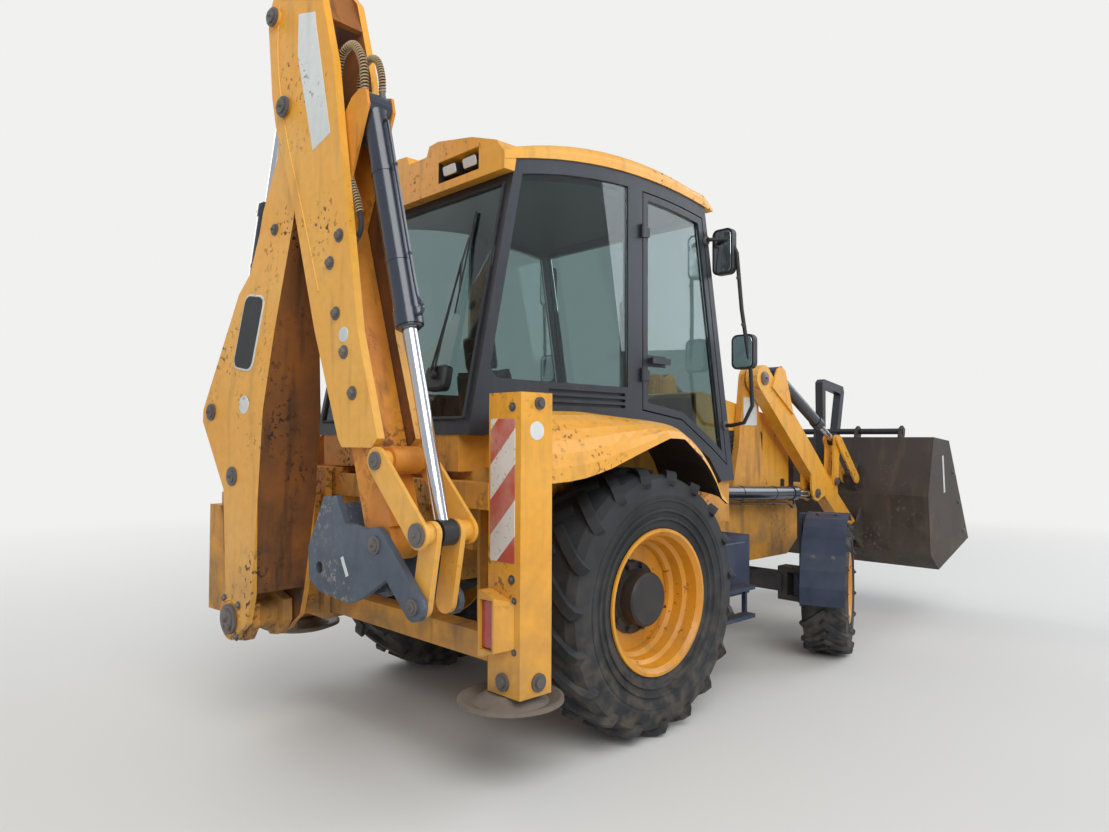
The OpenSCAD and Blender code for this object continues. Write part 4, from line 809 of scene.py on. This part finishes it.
# dark moulded headliner 75 mm under the roof's arch
headliner = {"from": -0.66, "long": 1.50, "crest": 3.110, "crestAt": 0.3, "bend": 0.13, "drop": 0.075, "rows": 13}
linerSection = ((-0.69, 0.03), (-0.60, 0), (0, -0.01), (0.60, 0), (0.69, 0.03), (0.69, -0.01), (0, -0.03),
                (-0.69, -0.01))
bm = bmesh.new()
rows = []
for i in range(headliner["rows"]):
    x = headliner["from"] + headliner["long"] * i / (headliner["rows"] - 1)
    z = headliner["crest"] - headliner["bend"] * (x - headliner["crestAt"]) ** 2 - headliner["drop"]
    rows.append([bm.verts.new(machine(x, y, z - drop)) for y, drop in linerSection])
joinRings(bm, rows)
finishPiece("headliner", bm, cabPlastic)

# roof work lamps: two frosted lenses in each pod
lampUp = Vector((-0.22, 0, 1)).normalized()
for side, word in handed:
    for number, y in (("1", 0.285), ("2", 0.46)):
        slabPiece("workLampLens" + word + number, whiteLens, machine(-0.7865, side * y, 3.012), -left,
                  lampUp, 0.11, 0.05, 0.012, 0.006)

# mirror glasses in their heads, and clamps on the bent rail
for side, word in handed:
    bm = bmesh.new()
    slab(bm, machine(0.985, side * 0.826, 2.775), -left, up, 0.128, 0.268, 0.034, 0.002, 0.001)
    slab(bm, machine(1.082, side * 0.912, 2.128), -left, up, 0.140, 0.200, 0.034, 0.002, 0.001)
    finishPiece("mirrorGlass" + word, bm, mirrorSilver)
    bm = bmesh.new()
    for x, z in ((0.922, 2.850), (1.135, 1.655)):
        flange = [(0.013, 0), (0.032, 0), (0.030, 0.008), (0.013, 0.010)]
        lathe(bm, machine(x, side * 0.7455, z), left * side, flange, 20)
    for x, y, z in ((1.043, 0.914, 2.60), (1.070, 0.932, 2.30)):
        hexBolt(bm, machine(x - 0.012, side * y, z), -forward, 0.014, 0.010)
    finishPiece("mirrorClamps" + word, bm, fastenerSteel)

# hood: louvre panel and rubber latches on each side; grille: bolts and the lenses of its lamps
headLens = [(0, 0), (0.066, 0), (0.066, 0.004), (0.045, 0.012), (0, 0.016)]
for side, word in handed:
    bm = bmesh.new()
    slab(bm, machine(1.86, side * 0.4, 1.46), forward * -side, up, 0.60, 0.34, 0.03, 0.004)
    for i in range(9):
        z = 1.33 + 0.033 * i
        slat = ((1.60, 0.404), (1.86, 0.408), (2.12, 0.404))
        sweep(bm, [machine(x, side * y, z) for x, y in slat], 0.010, 8, 0.7)
    finishPiece("hoodLouvres" + word, bm, hubEnamel, "hood")
    bm = bmesh.new()
    for x in (1.50, 2.45):
        slab(bm, machine(x, side * 0.4, 1.20), forward * -side, up, 0.035, 0.10, 0.012, 0.018, 0.004)
    finishPiece("hoodLatches" + word, bm, hoseRubber, "hood")
    bm = bmesh.new()
    for z in (1.16, 1.57):
        hexBolt(bm, machine(2.64, side * 0.36, z), forward, 0.016, 0.010)
    finishPiece("grilleBolts" + word, bm, fastenerSteel)
    bm = bmesh.new()
    lathe(bm, machine(2.636, side * 0.25, 1.43), forward, headLens, 36)
    finishPiece("headLampLens" + word, bm, whiteLens)
    slabPiece("turnLampLens" + word, amberLens, machine(2.60, side * 0.25, 1.29), left,
              up, 0.12, 0.05, 0.012, 0.03, 0.004)

# exhaust: a half-open rain flap on its hinge, and three clamp bands
bm = bmesh.new()
stack = machine(1.37, 0.335, 2.631)
flapUp = Vector((-0.35, 0, 1)).normalized()
lathe(bm, stack + up * 0.004, flapUp, [(0, 0), (0.046, 0), (0.046, 0.005), (0, 0.007)], 28)
sweep(bm, [stack + Vector((0.05, -0.025, 0)), stack + Vector((0.05, 0.025, 0))], 0.007, 8)
for z in (1.30, 1.95, 2.56):
    lathe(bm, machine(1.37, 0.335, z), up, [(0.0402, 0), (0.044, 0.001), (0.044, 0.024), (0.0402, 0.025)], 32)
finishPiece("exhaustFittings", bm, fastenerSteel)

# anti-slip ridges on the steps, and each box's pressed panel and filler cap
bm = bmesh.new()
for side in (-1, 1):
    for z in (0.625, 0.445):
        for i in range(12):
            x = 0.80 + 0.36 * i / 11
            sweep(bm, [machine(x, side * 0.868, z + 0.001), machine(x, side * 0.93, z + 0.001)], 0.004, 6)
finishPiece("stepRidges", bm, fastenerSteel)
bm = bmesh.new()
for side in (-1, 1):
    slab(bm, machine(0.99, side * 0.86, 0.75), forward * -side, up, 0.40, 0.30, 0.03, 0.012, 0.006)
    lathe(bm, machine(0.84, side * 0.70, 0.94), up, [(0, 0), (0.045, 0), (0.045, 0.02), (0.03, 0.03), (0, 0.03)], 28)
finishPiece("boxPanels", bm, guardPlastic)

# wheels: sidewall ribs, as (share of the rim's radius, share of the reach outward), and valve stems
sidewallRibs = ((1.22, 0.955), (1.34, 0.985), (1.50, 1.0))
for end, side, word in wheelPlaces:
    centre, axle = wheelFrame(end, side)
    body = "wheel_" + end + "_" + word
    rim, out = wheels[end]["rim"], wheels[end]["out"]
    bm = bmesh.new()
    for ratio, lift in sidewallRibs:
        r = rim * ratio
        rib = [(r - 0.010, 0), (r - 0.005, 0.012), (r + 0.005, 0.012), (r + 0.010, 0)]
        lathe(bm, centre + axle * (out * lift - 0.012), axle, rib, 72)
    finishPiece("sidewallRibs_" + end + "_" + word, bm, tyreRubber, body)
    bm = bmesh.new()
    aside = up * 0.8 + axle.cross(up).normalized() * 0.6
    foot = centre + axle * (out * 0.55) + aside * (rim - 0.075)
    sweep(bm, [foot, foot + axle * 0.03, foot + axle * 0.055 + aside * 0.004], 0.006, 10)
    finishPiece("valveStem_" + end + "_" + word, bm, hoseRubber, body)

# front mudguards: four bolts on each, on the steered wheel's own turn
guardRadius = 0.544
turn = Matrix.Rotation(math.radians(wheels["front"]["turn"]), 3, "Z")
for side, word in handed:
    x, y, z = wheels["front"]["middle"]
    pin = machine(x, side * y, z)
    bm = bmesh.new()
    for angle in (100, 150):
        a = math.radians(angle)
        radial = Vector((math.cos(a), 0, math.sin(a)))
        for y in (0.12, 0.25):
            hexBolt(bm, pin + turn @ (radial * guardRadius + left * side * y), turn @ radial, 0.018, 0.010)
    finishPiece("guardBolts_" + word.lower(), bm, fastenerSteel, "knuckle_" + word.lower())

# loader bucket: bolts of the cutting edge and the side plates, and a pale strip on the side that the photograph shows
bm = bmesh.new()
lipUp = Vector((-0.295, 0, 0.955)).normalized()
for i in range(10):
    hexBolt(bm, machine(4.27, -1.05 + 2.10 * i / 9, 0.6955), lipUp, 0.03, 0.012)
for side in (-1, 1):
    for x, z in ((4.22, 0.76), (4.10, 1.02), (3.98, 1.28)):
        hexBolt(bm, machine(x, side * 1.175, z), left * side, 0.026, 0.014)
finishPiece("bucketBolts", bm, fastenerSteel, "loader_bucket")
bm = bmesh.new()
strip = [machine(x, -1.175, z) for x, z in ((3.735, 1.43), (3.76, 1.435), (3.79, 1.12), (3.765, 1.115))]
sheetPlate(bm, strip, -left, 0.004)
finishPiece("bucketSideStrip", bm, paleFilm, "loader_bucket")

# loader pins
bm = bmesh.new()
for side in (-1, 1):
    for x, z, r in ((1.90, 2.02, 0.05), (2.70, 1.13, 0.038), (3.03, 1.215, 0.034)):
        pinHead(bm, machine(x, side * 0.583, z), left * side, r, 0.014)
finishPiece("armPinHeads", bm, fastenerSteel, "loader_arms")

# knobs and gaiters of the levers behind the seat
knob = [(0, 0), (0.012, 0), (0.024, 0.018), (0.026, 0.034), (0.018, 0.05), (0, 0.055)]
gaiter = [(0.045, 0), (0.034, 0.012), (0.038, 0.02), (0.026, 0.032), (0.030, 0.04), (0.012, 0.056)]
bm = bmesh.new()
for y in (-0.18, -0.06, 0.06, 0.18):
    lathe(bm, machine(-0.74, y, 1.735), up, knob, 20)
    lathe(bm, machine(-0.74, y, 1.48), up, gaiter, 20)
finishPiece("leverKnobs", bm, cabPlastic)


def cushion(name, centre, sideways, upward, width, length, thick, channels):
    # crowned pad whose sides pull in between the corners, with sewn channels and a piped seam
    normal = sideways.cross(upward)
    count = 36
    bm = bmesh.new()

    def spot(u, v, face):
        pull = 1 - 0.035 * (1 - v * v) * abs(u) ** 3, 1 - 0.035 * (1 - u * u) * abs(v) ** 3
        crown = max(0.0, (1 - u ** 8) * (1 - v ** 8)) ** 0.33 * (0.82 + 0.18 * (1 - u * u) * (1 - v * v))
        groove = sum(math.exp(-((v - c) / 0.035) ** 2) for c in channels) * 0.16 * (1 - u ** 6) if face > 0 else 0
        side = math.exp(-((abs(u) - 0.62) / 0.03) ** 2) * 0.12 if face > 0 and channels else 0
        lift = face * thick / 2 * (crown - groove - side)
        flat = sideways * (u * pull[0] * width / 2) + upward * (v * pull[1] * length / 2)
        return centre + flat + normal * lift

    for face in (1, -1):
        grid = [[bm.verts.new(spot(2 * i / count - 1, 2 * j / count - 1, face)) for j in range(count + 1)]
                for i in range(count + 1)]
        for i in range(count):
            for j in range(count):
                quad = (grid[i][j], grid[i + 1][j], grid[i + 1][j + 1], grid[i][j + 1])
                bm.faces.new(quad if face > 0 else quad[::-1])
    pad = finishPiece(name, bm, seatCloth, sharp=80)
    rim = []
    for u0, v0, u1, v1 in ((-1, -1, 1, -1), (1, -1, 1, 1), (1, 1, -1, 1), (-1, 1, -1, -1)):
        rim += [spot(u0 + (u1 - u0) * k / 16, v0 + (v1 - v0) * k / 16, 0) for k in range(16)]
    bm = bmesh.new()
    sweep(bm, rim + rim[:1], 0.005, 8)
    finishPiece(name + "Piping", bm, hoseRubber)


# seat: two padded cushions and a headrest on a sprung base with a rubber gaiter
backUp = Vector((-0.16, 0, 1)).normalized()
cushion("seatCushion", machine(-0.005, 0, 1.31), -left, forward, 0.49, 0.52, 0.12, (-0.35, 0.0, 0.35))
cushion("seatBackrest", machine(-0.275, 0, 1.68), left, backUp, 0.47, 0.58, 0.11, (-0.4, -0.05, 0.3))
cushion("seatHeadrest", machine(-0.342, 0, 2.075), left, backUp, 0.26, 0.19, 0.075, ())
bm = bmesh.new()
for i in range(5):
    z = 1.061 + 0.036 * i
    fold = 0.03 * (i % 2)
    slab(bm, machine(0, 0, z), -left, forward, 0.44 - fold, 0.46 - fold, 0.05, 0.036, 0.012)
seatBase = finishPiece("seatBase", bm, hoseRubber)
bm = bmesh.new()
slab(bm, machine(-0.008, 0, 1.238), -left, forward, 0.50, 0.53, 0.05, 0.024, 0.006)
spine = ((-0.25, 1.25), (-0.335, 1.36), (-0.375, 1.75), (-0.42, 2.02), (-0.40, 2.07))
sweep(bm, smoothPath([machine(x, 0, z) for x, z in spine]), 0.016, 8)
for side in (-1, 1):
    sweep(bm, [machine(-0.29, side * 0.20, 1.30), machine(-0.37, side * 0.19, 1.75)], 0.012, 8)
finishPiece("seatFrame", bm, hubEnamel)
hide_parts("seat")

photoCamera = {
    "place": machine(-3.3351, -3.7296, 1.5593),
    "heading": 45.861,  # degrees from +X towards +Y
    "pitch": 1.684,
    "roll": 0.22,
    "focalPixels": 794.08,
    "imageWidth": 1109,
}
studio = {"backdrop": "#F1F1EF", "sky": "#F2F5FA", "skyStrength": 0.55, "fadeFrom": 5.0, "fadeTo": 13.0}


def addCamera(look):
    heading, pitch, roll = (math.radians(look[k]) for k in ("heading", "pitch", "roll"))
    ahead = Vector((math.cos(heading) * math.cos(pitch), math.sin(heading) * math.cos(pitch), math.sin(pitch)))
    right = Vector((math.sin(heading), -math.cos(heading), 0))
    top = right.cross(ahead)
    rolledRight = right * math.cos(roll) + top * math.sin(roll)
    rolledUp = top * math.cos(roll) - right * math.sin(roll)
    data = bpy.data.cameras.new("photoView")
    data.sensor_width = 36
    data.lens = look["focalPixels"] / look["imageWidth"] * data.sensor_width
    camera = bpy.data.objects.new("photoView", data)
    scene.collection.objects.link(camera)
    turn = Matrix((rolledRight, rolledUp, -ahead)).transposed()
    camera.matrix_world = Matrix.Translation(look["place"]) @ turn.to_4x4()
    scene.camera = camera


def addFloor():
    bm = bmesh.new()
    bmesh.ops.create_grid(bm, x_segments=2, y_segments=2, size=60)
    mesh = bpy.data.meshes.new("studioFloor")
    bm.to_mesh(mesh)
    bm.free()
    floor = bpy.data.objects.new("studioFloor", mesh)
    scene.collection.objects.link(floor)
    material, tree, shader, place = newMaterial("paleFloor")
    feed(tree, shader, {"Base Color": "#D8D7D3", "Roughness": 0.9})
    # from 5 m out the floor fades into the backdrop's own pale tone
    far = addNode(tree, "VectorMath", {0: place}, operation="LENGTH").outputs["Value"]
    reach = {"Value": far, "From Min": studio["fadeFrom"], "From Max": studio["fadeTo"]}
    fade = addNode(tree, "MapRange", reach, interpolation_type="SMOOTHSTEP")
    glow = addNode(tree, "Emission", {"Color": studio["backdrop"], "Strength": 1.0})
    blend = addNode(tree, "MixShader", {0: fade.outputs[0], 1: shader.outputs[0], 2: glow.outputs[0]})
    tree.links.new(blend.outputs[0], tree.nodes["Material Output"].inputs[0])
    mesh.materials.append(material)
    floor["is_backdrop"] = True


def addAreaLight(name, place, aim, size, watts, tone):
    data = bpy.data.lights.new(name, "AREA")
    data.size = size
    data.energy = watts
    data.color = linear(tone)[:3]
    lamp = bpy.data.objects.new(name, data)
    scene.collection.objects.link(lamp)
    lamp.location = place
    lamp.rotation_mode = "QUATERNION"
    lamp.rotation_quaternion = (Vector(aim) - Vector(place)).to_track_quat("-Z", "Y")


def addWorld(look):
    # the sky lights the machine, and the camera sees the plain backdrop tone in its place
    world = bpy.data.worlds.new("softSky")
    world.use_nodes = True
    tree = world.node_tree
    sky = tree.nodes["Background"]
    feed(tree, sky, {"Color": look["sky"], "Strength": look["skyStrength"]})
    seen = addNode(tree, "Background", {"Color": look["backdrop"], "Strength": 1.0})
    eye = addNode(tree, "LightPath").outputs["Is Camera Ray"]
    blend = addNode(tree, "MixShader", {0: eye, 1: sky.outputs[0], 2: seen.outputs[0]})
    tree.links.new(blend.outputs[0], tree.nodes["World Output"].inputs[0])
    scene.world = world


addCamera(photoCamera)
addFloor()
addWorld(studio)
addAreaLight("skyKey", (-6, -9, 9), (0, 0, 1), 9, 1000, "#FFFFFF")
addAreaLight("skyFill", (9, -5, 7), (0, 0, 1), 8, 500, "#F4F8FF")
addAreaLight("skyBack", (-2, 10, 8), (0, 0, 1.5), 8, 500, "#FFFFFF")
scene.view_settings.view_transform = "Standard"
print("camera, floor and lamps ready")

low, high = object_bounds()
